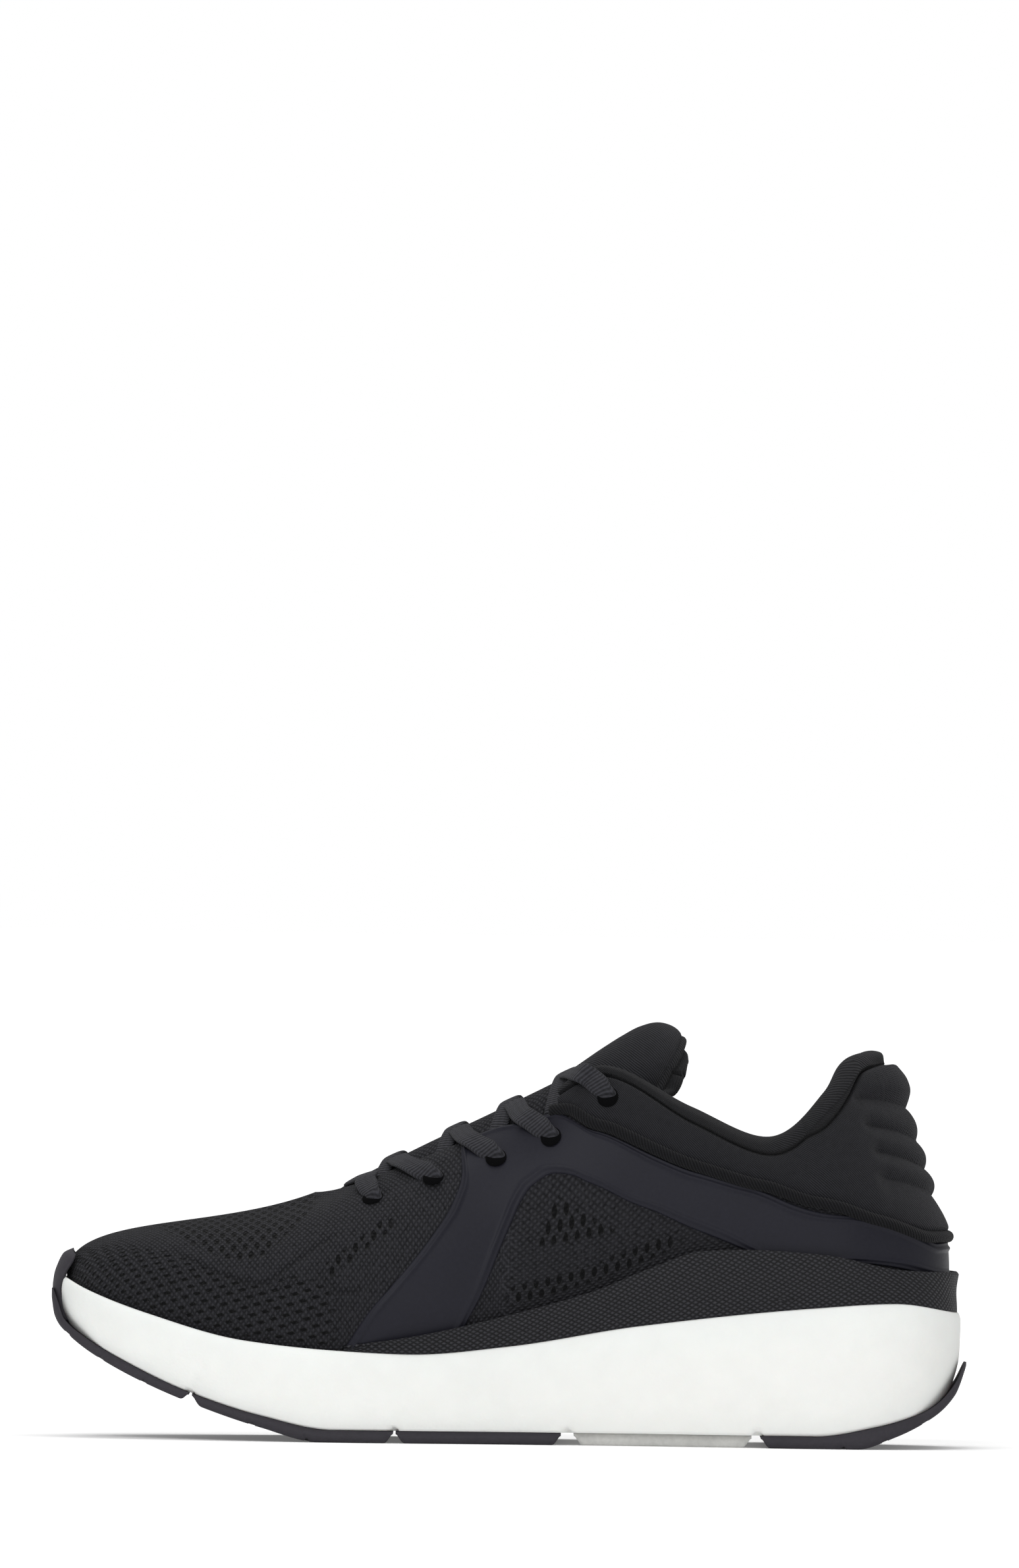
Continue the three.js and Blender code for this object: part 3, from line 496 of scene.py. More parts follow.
def knit_finish():
    """Engineered knit: small loops, rows of dropped stitches round the toe and openwork in the vamp."""
    finish = Finish("knit", srgb(33, 33, 36), 0.92, Sheen_Weight=0.03, Sheen_Roughness=0.5,
                    Specular_IOR_Level=0.1)
    along, up, _ = finish.axes()
    wale, course = finish.zone("wale"), finish.zone("course")
    fuzz = finish.noise(800, 3.0)
    drift = finish.noise(150, 2.0)
    chunk = finish.zone("chunky")
    wander = (drift - 0.5) * 1.2

    def lattice(slant, sway, period):
        """Two sets of slanting ridges that cross."""
        return (wale + course * slant + sway).wave(period) * (wale - course * slant + sway).wave(period)

    small, big = lattice(0.8, wander, 1.6), lattice(1.45, wander, 2.3)
    stitch = small * (1 - chunk) + big * chunk
    # rows of dropped stitches, which fan out from the toe
    from_toe = HALF_GIRTH - (along - HALF_GIRTH).math("ABSOLUTE")
    row = up - ((from_toe + 35) / 35).math("LOGARITHM", math.e) * 60
    slot = row.wave(3.1).step(0.55, 0.85) * (from_toe + row * 0.9).wave(3.6).step(0.35, 0.7)
    # staggered holes
    eye = lattice(0.53, wander * 0.4, 3.6).step(0.22, 0.44)
    # Holes, dropped stitches and the groove round the toe are sunk in the relief and also painted dark as
    # shade.
    pit_depth_and_shade = (slot * finish.zone("ribs")).math("MAXIMUM", eye * finish.zone("openwork"))
    pit_depth_and_shade = pit_depth_and_shade.math("MAXIMUM", finish.zone("furrow") * 0.5)
    height = stitch * (0.8 + 0.3 * chunk) + fuzz * 0.35 - pit_depth_and_shade * 1.6
    # Colour follows the loops: tops painted lighter as highlight, gaps and holes painted dark as shade, plus
    # random tone from the fuzz.
    tone_and_shade = (stitch * 1.25 + fuzz * 0.9 - 0.15) * (1 - pit_depth_and_shade * 0.95)
    finish.shade(tone_and_shade, 0.12, 2.0)
    finish.relief(height, 0.75)
    return finish.material


def twill_finish(name, color, period=0.85):
    """Diagonal twill cloth."""
    finish = Finish(name, color, 0.88, Sheen_Weight=0.04, Sheen_Roughness=0.45, Specular_IOR_Level=0.12)
    along, up, _ = finish.axes()
    fuzz = finish.noise(420, 3.0)
    diagonal = (along * 0.7 + up + (fuzz - 0.5) * 0.5).wave(period)
    thread = (along - up * 0.7).wave(period * 0.8)
    height = diagonal * 0.8 + thread * 0.1 + fuzz * 0.3
    # Colour follows the relief: ribs painted lighter as highlight, troughs painted darker as shade, plus
    # random tone from the fuzz.
    finish.shade(height * 0.95 - 0.1, 0.35, 1.8)
    finish.relief(height, 0.28)
    return finish.material


def lace_finish():
    """Flat woven lace: two ribs of chevrons."""
    finish = Finish("lace_weave", srgb(38, 38, 42), 0.82, Sheen_Weight=0.04, Specular_IOR_Level=0.15)
    around, along, _ = finish.axes()
    chevron = (along + around.wave(7.0) * 1.6).wave(1.15)
    thread = around.wave(0.9)
    fuzz = finish.noise(420, 3.0)
    height = chevron * 0.7 + thread * 0.15 + fuzz * 0.3
    # Colour follows the relief: chevron ribs painted lighter as highlight, hollows painted darker as shade,
    # plus random tone from the fuzz.
    finish.shade(height, 0.25, 1.75)
    finish.relief(height, 0.4)
    return finish.material


def film_finish():
    """Smooth bonded film with the faint print of the knit below."""
    finish = Finish("overlay_film", srgb(31, 31, 38), 0.55, Specular_IOR_Level=0.1)
    grain = finish.noise(900, 2.0)
    drift = finish.noise(40, 2.0)
    finish.shade(drift * 0.5 + grain * 0.5, 0.68, 1.22)
    finish.set("Roughness", grain * 0.12 + 0.4)
    finish.relief(grain * 0.5 + drift * 0.5, 0.08)
    return finish.material


def rubber_finish(name, color):
    """Matt moulded rubber with a fine grain and scuffs."""
    finish = Finish(name, color, 0.72, Specular_IOR_Level=0.2)
    grain = finish.noise(700, 3.0)
    scuff = finish.noise(70, 4.0)
    finish.shade(grain * 0.5 + scuff * 0.5, 0.75, 1.3)
    finish.set("Roughness", scuff * 0.2 + 0.6)
    finish.relief(grain, 0.12)
    return finish.material


def foam_finish():
    """White moulded foam: fine closed-cell grain, slightly uneven."""
    finish = Finish("midsole_foam", srgb(226, 226, 223), 0.7, Specular_IOR_Level=0.35,
                    Subsurface_Weight=0.05)
    cells = finish.cells(900)
    drift = finish.noise(120, 3.0)
    finish.shade(drift, 0.95, 1.03)
    finish.relief(cells * 0.4 + drift * 0.8, 0.1)
    return finish.material


def cradle_finish():
    """Dark rail with a raised lozenge texture."""
    finish = Finish("cradle_scales", srgb(33, 33, 36), 0.55, Specular_IOR_Level=0.2)
    along, up, _ = finish.axes()
    grain = finish.noise(800, 2.0)
    forth = (along * 0.8 + up * 1.25 + grain * 0.3).wave(1.9)
    back = (along * 0.8 - up * 1.25 + grain * 0.3).wave(1.9)
    scale = (forth * back).math("POWER", 0.6)
    # Colour follows the relief: raised lozenges painted lighter as highlight, the lines between them painted
    # darker as shade, plus random grain.
    finish.shade(scale + grain * 0.3 - 0.12, 0.25, 2.25)
    finish.set("Roughness", 0.75 - scale * 0.25)
    finish.relief(scale + grain * 0.1, 0.4)
    return finish.material


def plain_finish(name, color, roughness, grain=0.1):
    """Unseen or small pieces: their own colour with a fine grain."""
    finish = Finish(name, color, roughness, Specular_IOR_Level=0.05)
    speck = finish.noise(600, 2.0)
    finish.shade(speck, 0.85, 1.12)
    finish.relief(speck, grain)
    return finish.material


FINISH = {
    "knit": knit_finish(),
    "twill": twill_finish("collar_twill", srgb(32, 32, 35)),
    "lining": twill_finish("collar_lining_cloth", srgb(29, 29, 31), 0.7),
    "piping": twill_finish("piping_twill", srgb(18, 18, 20), 1.1),
    "lace": lace_finish(),
    "film": film_finish(),
    "rubber": rubber_finish("outsole_rubber", srgb(50, 48, 53)),
    # Pale so that the shaded gap under the arch shows white: painted light for the bright floor seen through
    # it.
    "pale_gap_light_rubber": rubber_finish("midfoot_rubber", srgb(205, 205, 202)),
    "foam": foam_finish(),
    "cradle": cradle_finish(),
    "board": plain_finish("strobel_board", srgb(214, 208, 194), 0.9),
    "stiff": plain_finish("stiffener", srgb(120, 120, 124), 0.7),
    "stay": plain_finish("eyelet_stay", srgb(30, 30, 32), 0.8),
    "padding": plain_finish("padding_foam", srgb(52, 52, 54), 0.9, 0.4),
    "aglet": plain_finish("aglet_plastic", srgb(28, 28, 30), 0.25, 0.02),
    # Painted shade: near-black discs stand for the shadow inside the eyelet holes.
    "hole": plain_finish("hole_shadow", srgb(7, 7, 8), 0.95, 0.02),
}


# ---------------------------------------------------------------- sole
def notch_lift(x, height):
    """How far the lower edge of the sole is nicked upwards at the flex notches."""
    return sum(height * bump(x, notch, 1.5) for notch in FLEX_NOTCHES)


def crease(x, z):
    """Shallow slanting creases in the foam above each flex notch."""
    depth = 0 * x
    for notch in FLEX_NOTCHES:
        run = z - foam_bottom(notch)
        line = x - (notch + 0.5 * run)
        depth = depth + bump(line, 0, 0.9) * smooth(run, 0, 1) * (1 - smooth(run, 6, 14))
    return depth


def midsole():
    def wall(share, inset):
        def at(t):
            point = plan_point(t, inset, lambda x: mix(foam_bottom(x), foam_top(x), share))
            dent = crease(point[..., 0], point[..., 2])
            return point - outward(t) * (0.55 * dent)[..., None]
        return at

    def lower_edge(t):
        point = plan_point(t, 2.4, foam_bottom)
        point[..., 2] += notch_lift(point[..., 0], 2.4)
        return point

    def rim_v(t):
        return height_to_v(t, foam_top(plan_point(t, 3, 0.0)[..., 0]))

    corners = [
        lambda t: plan_point(t, 6, footbed),
        lambda t: layer(t, rim_v(t) * 0.5, 0.6),
        lambda t: layer(t, rim_v(t), 0.45),
        lambda t: plan_point(t, 0.4, foam_top),
    ]
    swell = [(0.9, -0.15), (0.8, -0.2), (0.7, -0.2), (0.6, -0.15), (0.5, -0.1), (0.42, -0.05),
             (0.34, 0), (0.27, 0.15), (0.2, 0.4), (0.14, 0.8), (0.08, 1.4), (0.03, 2.0)]
    wall_rows = [wall(share, inset) for share, inset in swell]
    top_edge = [corner_arc(corners[3], corners[2], wall_rows[0], 0.8, s) for s in (0, 0.35, 0.7, 1)]
    loops = [spine(footbed, 6), *corners[:3], *top_edge, *wall_rows, lower_edge,
             lambda t: plan_point(t, 3.4, foam_bottom), spine(foam_bottom, 3.4)]

    def place(u, v):
        return np.stack([loop(u[:, 0]) for loop in loops], axis=1)

    piece = sheet("foam_midsole", 560, len(loops) - 1, place, FINISH["foam"], closed=True)
    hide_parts("midsole")


def pad_edge(x, side, tip):
    """Y of the rubber's edge at x: inside the foam along the flanks, proud of it by tip at toe and heel."""
    t = np.linspace(0, 0.5, 500)
    t = t if side < 0 else 1 - t
    near_end = smooth(np.abs(plan_curve(t)[:, 0]), 126, 139)
    line = plan_point(t, mix(1.9, -tip, near_end), 0.0)
    order = np.argsort(line[:, 0])
    return np.interp(x, line[order, 0], line[order, 1])


def tread(x, y):
    """Share of the tread's depth: slanting channels crossed by two long ones."""
    slant = np.abs(((x + 0.55 * np.abs(y)) / 8.5) % 1 - 0.5)
    long_cut = np.abs(np.abs(y + 2) - 17)
    return np.maximum(smooth(slant, 0.36, 0.44), 1 - smooth(long_cut, 0.9, 1.8))


def rubber_pad(name, node, from_x, to_x, finish, inset=0.0):
    """Rubber between two cuts across the sole, with its tread and edge sipes."""
    columns, tip = 120, 2.2

    def place(u, v):
        k = np.rint(u * columns)
        ends = np.clip((k - 1) / (columns - 2), 0, 1)
        crowd = np.cos(np.pi * ends)  # columns lie closer together towards both ends
        x = mix(from_x, to_x, 0.5 - 0.5 * crowd * (0.35 + 0.65 * np.abs(crowd)))
        closed = (k == 0) | (k == columns)
        around = v * 2
        share = np.where(around < 1, around, 2 - around)
        share = np.clip((share - 0.03) / 0.94, 0, 1)
        medial = pad_edge(x, -1, tip) + inset
        lateral = np.maximum(pad_edge(x, 1, tip) - inset, medial)
        y = mix(medial, lateral, share)
        rim = np.minimum(share, 1 - share) * (lateral - medial)
        top = foam_bottom(x) - 0.15
        bottom = sole_bottom(x) + 0.5 * (1 - smooth(rim, 0, 0.8))
        to_end = np.minimum(np.where(from_x < -140, 99, x - from_x), np.where(to_x > 140, 99, to_x - x))
        bottom = bottom + (top - bottom) * 0.75 * (1 - smooth(to_end, 0, 3.5)) ** 2
        thick = top - bottom
        from_cut = np.minimum(x - from_x, to_x - x)
        inner = smooth(rim, 3.0, 4.0) * smooth(from_cut, 2, 3) * smooth(thick, 2.2, 3.0)
        sipe = sum(bump(x, cut, 0.9) for cut in SIPES) * (1 - smooth(rim, 5, 7))
        low = bottom + 1.3 * tread(x, y) * inner + 0.9 * sipe * smooth(thick, 1.5, 2.5)
        under = (around <= 1) & (v > 0) & (v < 1)
        z = np.where(under, np.minimum(low, top - 0.3), top)
        z = np.where(closed, (top + bottom) / 2, z)
        return np.stack([x, y, z], axis=-1)

    piece = sheet(name, columns, 150, place, FINISH[finish], closed=True)
    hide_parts(node)


def toe_guard():
    """Tab of the outsole turned up over the front of the toe, widest near its rounded top."""
    foot, top = 35.0, 58.4
    half_width = profile([(foot, 0.024), (40, 0.019), (45, 0.018), (50, 0.024), (55, 0.03), (top, 0.022)])
    stand = profile([(foot, 0.2), (40, 1.4), (46, 1.8), (50, 1.4), (54, 0.1), (56.5, -1.2), (top, -3.0)])

    def place(u, v):
        around = v * 2
        across = 2 * np.where(around < 1, around, 2 - around) - 1
        z = mix(foot, top, u) - 1.8 * across**2 * smooth(u, 0.55, 1)
        t = half_width(z) * across
        out = stand(z)
        rim = np.sqrt(np.clip(1 - across**6, 0, 1) * smooth(np.minimum(u, 1 - u), 0, 0.07))
        back = plan_point(t, 1.6 - out + 2.2 * (1 - smooth(z, 37, 45)), z)
        front = mix(back, plan_point(t, -out, z), rim[..., None])
        return np.where((around < 1)[..., None], front, back)

    piece = sheet("toe_guard", 60, 80, place, FINISH["rubber"], closed=True)
    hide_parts("outsole_toe")


def outsole():
    rubber_pad("toe_pad", "outsole_toe", -142.0, -98.7, "rubber")
    rubber_pad("ball_pad", "outsole_forefoot", -97.7, -35.4, "rubber")
    rubber_pad("arch_pad", "outsole_arch", -34.6, 16.5, "rubber", inset=0.6)
    # The inset pale pad paints the gap under the arch white, standing in for the floor's light beyond it.
    rubber_pad("heel_front_pad", "outsole_heel_front", 20.5, 75.5, "pale_gap_light_rubber", inset=5.0)
    rubber_pad("heel_pad", "outsole_heel", 78.4, 142.2, "rubber")
    toe_guard()


# ---------------------------------------------------------------- upper
def knit_top(t):
    """Upper border of the knit: just below the piping, or the throat edge in front of it."""
    t, throat = np.asarray(t, float), 0.995
    collar = piping_v(t) - SEAM_ALLOWANCE / stretch(t, piping_v(t))
    fade = smooth(np.abs(t - HEEL), HEEL - COLLAR_START, HEEL - COLLAR_START + 0.03)
    return mix(np.minimum(collar, throat), throat, fade)


# Borders of the knit's zones on either flank, as heights along the shoe.
OPENWORK_FLOOR = profile([(-114, 66.5), (-102.7, 62), (-97.8, 59.5), (-88.5, 55.8), (-84, 55.2),
                          (-75.3, 57.2), (-71, 61.5), (-61, 71.5), (-56, 78)])
RIBS_TOP = profile([(-139, 58), (-120, 59), (-104, 57), (-88, 51), (-77, 48), (-66, 51), (-56, 47),
                    (-50, 40)])
FURROW = profile([(-104, 58.5), (-99, 55.8), (-88, 51), (-77, 48.7), (-69, 53.7), (-57.7, 61.7),
                  (-50, 66)])
HOOK = profile([(-62, 56), (-57, 50), (-52, 46.5), (-44, 47)])
girth_radius = profile([(-141, 22), (-110, 36), (-60, 44), (0, 46), (60, 50)])


def length_place(u, v, points):
    """Where a point lies along the shoe."""
    return points[..., 0]


def girth_place(u, v, points):
    """How far round the upper a point lies from its middle line, medial side negative."""
    x = points[..., 0]
    return girth_radius(x) * np.arctan2(points[..., 1] + 4, points[..., 2] - foam_top(x) + 4)


def knit_upper():
    def place(u, v):
        return skin(u, knit_top(u) * v)

    def pattern(u, v, points):
        return np.stack([u * 2 * HALF_GIRTH, run_of(points, 1)], axis=-1)

    def openwork(u, v, points):
        """Holes over the toe box, in a slanting band of the vamp, in a window and along the hem."""
        x, z = points[..., 0], points[..., 2]
        toe_box = smooth(x, -115, -108) * (1 - smooth(x, -63, -58)) * smooth(z - OPENWORK_FLOOR(x), 0, 1)
        slant = z - (53.4 + 0.78 * (x + 55.8))
        vamp = (1 - smooth(np.abs(slant), 2.0, 3.4)) * (1 - smooth(np.abs(x + 47), 9.5, 12))
        window = smooth(x - 6.4 - 0.39 * (z - 60), 0, 1.2) * smooth(z - 60 - 0.208 * (x - 6.4), 0, 1.2)
        window = window * smooth(77.6 - 0.547 * (x - 13.3) - z, 0, 1.2)
        hem_line = cradle_top(x) + 5.5
        hem = (1 - smooth(np.abs(z - hem_line), 2.2, 3.6)) * smooth(x, -3, 1) * (1 - smooth(x, 48, 56))
        return np.clip(np.maximum.reduce([toe_box, vamp, window, hem]), 0, 1)

    def ribs(u, v, points):
        x, z = points[..., 0], points[..., 2]
        band = smooth(z - foam_top(x), 0.5, 2.0) * (1 - smooth(z - RIBS_TOP(x), -1, 1.5))
        return band * (1 - smooth(x, -57, -51)) * (1 - openwork(u, v, points))

    def chunky(u, v, points):
        return smooth(points[..., 0], -6, 4)

    def furrow(u, v, points):
        """The groove round the toe and the short hook behind it."""
        x, z = points[..., 0], points[..., 2]
        first = bump(z, FURROW(x), 1.4) * smooth(x, -106, -100) * (1 - smooth(x, -58, -52))
        second = bump(z, HOOK(x), 1.4) * smooth(x, -62, -59) * (1 - smooth(x, -48, -44))
        return np.maximum(first, second)

    # openwork, ribs and furrow mark where the knit sinks its surface and paints it dark as shade.
    piece = sheet("knitted_upper", 500, 96, place, FINISH["knit"], closed=True, pattern=pattern,
                  thickness=1.3, zones={"openwork": openwork, "ribs": ribs, "chunky": chunky,
                                        "furrow": furrow, "wale": length_place, "course": girth_place})
    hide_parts("knit_upper")


def flip(t, side):
    return t if side == "medial" else 1 - t


# Film overlay: its outer border and its inner border, from the foot of the front leg to the heel.
FILM_OUTER = [(-50.6, 29.6), (-43.4, 40.6), (-36.8, 48.4), (-25.5, 62.5), (-18.5, 73.6), (-15.6, 82),
              (-15.3, 92.6), (-6, 97), (5, 101.6), (12.4, 103.2), (25.4, 97.4), (44.8, 89.6),
              (73.8, 80.6), (102.8, 72.4), (131.9, 64)]
FILM_INNER = [(-16, 31.5), (-12.6, 38.4), (-8.8, 45.9), (-3, 60.5), (0.4, 68.6), (3.2, 75), (6.6, 80),
              (11, 83.2), (18.5, 83.4), (24, 81.2), (37.3, 75.2), (47, 71.6), (64.4, 64.4), (79.5, 59),
              (131, 53)]


def film_border(ts, vs, last_v):
    """t and v as functions of the share along a border that ends at the heel."""
    share = np.linspace(0, 1, len(ts) + 1)
    return profile(list(zip(share, [*ts, HEEL]))), profile(list(zip(share, [*vs, float(last_v)])))


def film_overlay(side):
    ts, vs = locate(FILM_OUTER)
    outer_t, outer_v = film_border(ts, np.minimum(vs, knit_top(ts) + 0.004), knit_top(HEEL))
    inner_t, inner_v = film_border(*locate(FILM_INNER), height_to_v(HEEL, 52.0))

    def place(u, v):
        ease = np.where(v < 0.5, 0.5 * (2 * v) ** 1.5, 1 - 0.5 * (2 - 2 * v) ** 1.5)
        t = mix(outer_t(u), inner_t(u), ease)
        vv = mix(outer_v(u), inner_v(u), ease)
        width = np.linalg.norm(skin(outer_t(u), outer_v(u)) - skin(inner_t(u), inner_v(u)), axis=-1)
        edge = np.minimum(ease, 1 - ease) * width
        rise = 0.75 * smooth(edge, 0, 0.5) + 0.55 * bump(edge, 2.3, 1.1)
        rim = np.where((v == 0) | (v == 1), -0.4, rise)
        return layer(flip(t, side), vv, rim)

    piece = sheet("film_" + side, 360, 44, place, FINISH["film"], closed=True)
    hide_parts("overlay_" + side)


def cradle():
    """Rail round the heel, from flank to flank, with a hollow outer face."""
    start = float(locate([(-51, 30.5)])[0][0])

    def place(u, v):
        t = mix(start, 1 - start, u)
        low = plan_point(t, 0.9, foam_top)
        taper = smooth(np.minimum(u, 1 - u), 0, 0.04)
        high = np.maximum(cradle_top(low[..., 0]), low[..., 2] + 0.6)
        section = v * 10
        up = np.interp(section, [0, 5, 5.6, 6.4, 7, 10], [0, 0.93, 1.0, 1.0, 0.93, 0])
        depth = np.interp(section, [0, 5, 5.6, 6.4, 7, 10], [0, 0, 0.3, 0.8, 1, 1])
        z = mix(low[..., 2], high, up)
        vv = height_to_v(t, z)
        hollow = 0.7 * np.sin(np.pi * np.clip(up, 0, 1)) * taper
        outer = mix(low, layer(t, vv, 3.4 * taper + 0.5 - hollow), smooth(up, 0, 0.7)[..., None])
        inner = layer(t, vv, 1.2 + 0.4 * taper)
        return with_z(mix(outer, inner, depth[..., None]), z)

    piece = sheet("side_cradle", 300, 30, place, FINISH["cradle"], closed=True)
    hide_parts("sidewall_cradle")


# ---------------------------------------------------------------- collar
def padding(t):
    """Share of the collar's full padding: none at its front ends."""
    return smooth(HEEL - COLLAR_START - np.abs(np.asarray(t) - HEEL), 0.0, 0.09)


def roll_radius(t):
    return mix(2.7, 5.0, padding(t))


def roll_v(t):
    """Where on the skin the rolled edge begins."""
    return 1 - roll_radius(t) / stretch(t, 0.97)


def seam_at(t):
    return np.minimum(seam_v(t), roll_v(t) - 0.5 / stretch(t, 0.97))


# Silhouette of the heel from the brow of the collar down to the piping, and the grooves in it:
# the height of each where it crosses the heel and where it dies out on the flank.
HEEL_NOTCH = [(108.2, 112), (96.9, 103.2), (87.2, 94.6), (79, 85.8)]
HEEL_LINE = profile([(60, 137.4), (67.3, 135.4), (79, 131), (87.2, 128.2), (96.9, 125.5), (108.2, 122),
                     (112, 122.6), (116, 121.4), (120, 119), (123.2, 116.6), (127, 112)])
LOBE, BROW = 2.5, 0.9  # how far the lobes and the brow above them swell
GROOVE = 2.7
LOBE_SPREAD = 0.094  # in t, from the heel to where the lobes die out


def heel_relief(t, points):
    """How far the padded lobes at the heel stand off the skin."""
    far = np.clip(np.abs(t - HEEL) / LOBE_SPREAD, 0, 1)
    fade = 1 - smooth(far, 0.4, 1.0)
    own = points[..., 2]
    z = own + mix(0.6, 3.0, smooth(own, 75, 115))
    marks = [(56, 56), *reversed(HEEL_NOTCH), (124, 125)]
    level = np.empty_like(z)
    for i in range(z.shape[0]):
        heights = [back + (front - back) * far[i, 0] for back, front in marks]
        level[i] = np.interp(z[i], heights, [back for back, _ in marks])
    edges = np.array([back for back, _ in marks])
    k = np.clip(np.searchsorted(edges, level) - 1, 0, len(edges) - 2)
    share = np.clip((level - edges[k]) / (edges[k + 1] - edges[k]), 0, 1)
    hollow = 1 - np.sin(np.pi * share) ** 0.8
    hollow = np.where(((k == len(edges) - 2) & (share > 0.5)) | ((k == 0) & (share < 0.5)), 0, hollow)
    brow = smooth(level, 106, 112)
    bulge = mix(LOBE, BROW, brow)
    groove = GROOVE * hollow * (1 - smooth(far, 0.86, 1.0)) * (1 - 0.3 * brow)
    back = skin(HEEL, np.linspace(0.3, 1, 200))
    tilt = mix(0.96, 0.8, smooth(own, 75, 118))
    stand = (HEEL_LINE(level) - np.interp(own, back[:, 2], back[:, 0])) / tilt
    lowest = mix(-5, -0.8, smooth(own, 100, 114))
    stand = np.maximum(stand - mix(1.6, 0.4, smooth(own, 92, 108)), lowest) * fade
    return stand + bulge * fade - groove * mix(1.0, 0.75, smooth(far, 0, 0.4))


def collar_panel():
    """Outer cloth of the collar, puffed between the piping and the seam below the rolled edge."""
    def place(u, v):
        t = mix(COLLAR_START, COLLAR_END, u)
        low = piping_v(t) + 0.4 / stretch(t, piping_v(t))
        high = np.maximum(seam_at(t), low + 0.01)
        vv = mix(low, high, v)
        to_seam = (1 - v) * (high - low) * stretch(t, high)
        crown = 1.1 * np.clip(np.sin(np.pi * v), 0, 1) ** 0.5 - 1.5 * (1 - smooth(to_seam, 0, 1.3))
        points = skin(t, vv)
        ends = smooth(np.minimum(v / 0.05, (1 - v) / 0.035), 0, 1)
        return layer(t, vv, crown + heel_relief(t, points) * ends)

    piece = sheet("collar_outer", 400, 122, place, FINISH["twill"], thickness=1.2)
    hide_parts("collar_panel")


def collar_lining():
    """From the seam out over the rolled edge, and down the padded inside to the footbed."""
    def place(u, v):
        t = mix(COLLAR_START, COLLAR_END, u)
        radius, top = roll_radius(t), roll_v(t)
        start = np.minimum(seam_at(t) - 0.3 / stretch(t, 0.97), top - 0.003)
        sink = 0.7 * (1 - smooth(np.abs(t - HEEL), 0.03, 0.1))
        begin = np.clip(v / 0.2, 0, 1)
        rounding = mix(3.4, 1.4, smooth(np.abs(t - HEEL), 0.02, 0.06))
        step_up = smooth(begin * (top - start) * stretch(t, top) / rounding, 0, 1)
        first = layer(t, mix(start, top, begin), mix(-1.6, 1.0, step_up) - sink * begin)
        angle = np.pi * np.clip((v - 0.2) / 0.3, 0, 1)
        normal = skin_normal(t, top)
        up = unit(skin(t, top + 0.01) - skin(t, top))
        centre = layer(t, top, -radius - sink)
        reached = smooth((top - start) * stretch(t, top) / rounding, 0, 1)
        tuck = 2.6 * (1 - reached) * (1 - smooth(angle, 0, 0.8))
        grown = radius + 0.9 * np.cos(angle / 2) + 0.3 - tuck
        high = radius + 1.0 * np.sin(angle)
        roll = centre + normal * (grown * np.cos(angle))[..., None] + up * (high * np.sin(angle))[..., None]
        down = np.clip((v - 0.5) / 0.5, 0, 1)
        pad = mix(2 * radius, 7.4, smooth(down, 0, 0.8)) + 0.4 + 1.6 * padding(t) * bump(down, 0.12, 0.2)
        inside = layer(t, mix(top, 0.07, down), -pad - sink * (1 - smooth(down, 0, 0.3)))
        return np.where((v < 0.2)[..., None], first, np.where((v < 0.5)[..., None], roll, inside))

    piece = sheet("collar_roll", 320, 100, place, FINISH["lining"], thickness=0.9)
    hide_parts("collar_lining")


def swept(name, knots, steps, sides, shape, material):
    """A closed strip along a smooth path; shape(s, angle) gives its reach across and up in mm."""
    around = 14.0  # millimetres of weave round the strip
    points = np.array([k[0] for k in knots], float)
    ups = np.array([k[1] for k in knots], float)
    s = np.linspace(0, len(points) - 1, steps)
    path = open_curve(points, s)
    up = open_curve(ups, s)
    along = unit(np.gradient(path, axis=0))
    up = unit(up - along * (up * along).sum(axis=1, keepdims=True))
    across = np.cross(along, up)
    length = np.concatenate([[0], np.cumsum(np.linalg.norm(np.diff(path, axis=0), axis=1))])

    ring = np.arange(steps + 2)  # the first and last rings close to a point
    k = np.clip(ring - 1, 0, steps - 1)
    size = np.where((ring == 0) | (ring == steps + 1), 0.0, 1.0)

    def place(u, v):
        wide, high = shape(s[k] / (len(points) - 1), 2 * np.pi * u)
        return path[k] + across[k] * (wide * size)[..., None] + up[k] * (high * size)[..., None]

    def pattern(u, v, _):
        return np.stack([u * around, 0 * u + length[k]], axis=-1)

    return sheet(name, sides, steps + 1, place, material, closed=True, pattern=pattern)


def piping():
    t = np.linspace(COLLAR_START - 0.003, COLLAR_END + 0.003, 60)
    knots = list(zip(layer(t, piping_v(t), 0.9), skin_normal(t, piping_v(t))))

    def shape(s, angle):
        return PIPING_RADIUS * np.cos(angle), PIPING_RADIUS * np.sin(angle)

    piece = swept("piping_cord", knots, 420, 20, shape, FINISH["piping"])
    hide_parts("piping")


# ---------------------------------------------------------------- tongue
def tongue_point(x, across, depth):
    """Point below the tongue's arched face; across runs from -1 to 1 between its edges."""
    half = tongue_half(x)
    y = across * half
    reach = np.abs(y)
    fall = mix(1.3, 2.0, smooth(x, 22, 42))
    drop = 0.043 * np.minimum(reach, 16) ** 2 + fall * np.maximum(reach - 16, 0)
    slope_x = (tongue_ridge(x + 1) - tongue_ridge(x - 1)) / 2
    slope_y = -np.sign(y) * np.where(reach < 16, 0.086 * reach, fall)
    normal = unit(np.stack([-slope_x, -slope_y, 1 + 0 * x], axis=-1))
    return np.stack([x, y, tongue_ridge(x) - drop], axis=-1) - normal * np.asarray(depth)[..., None]


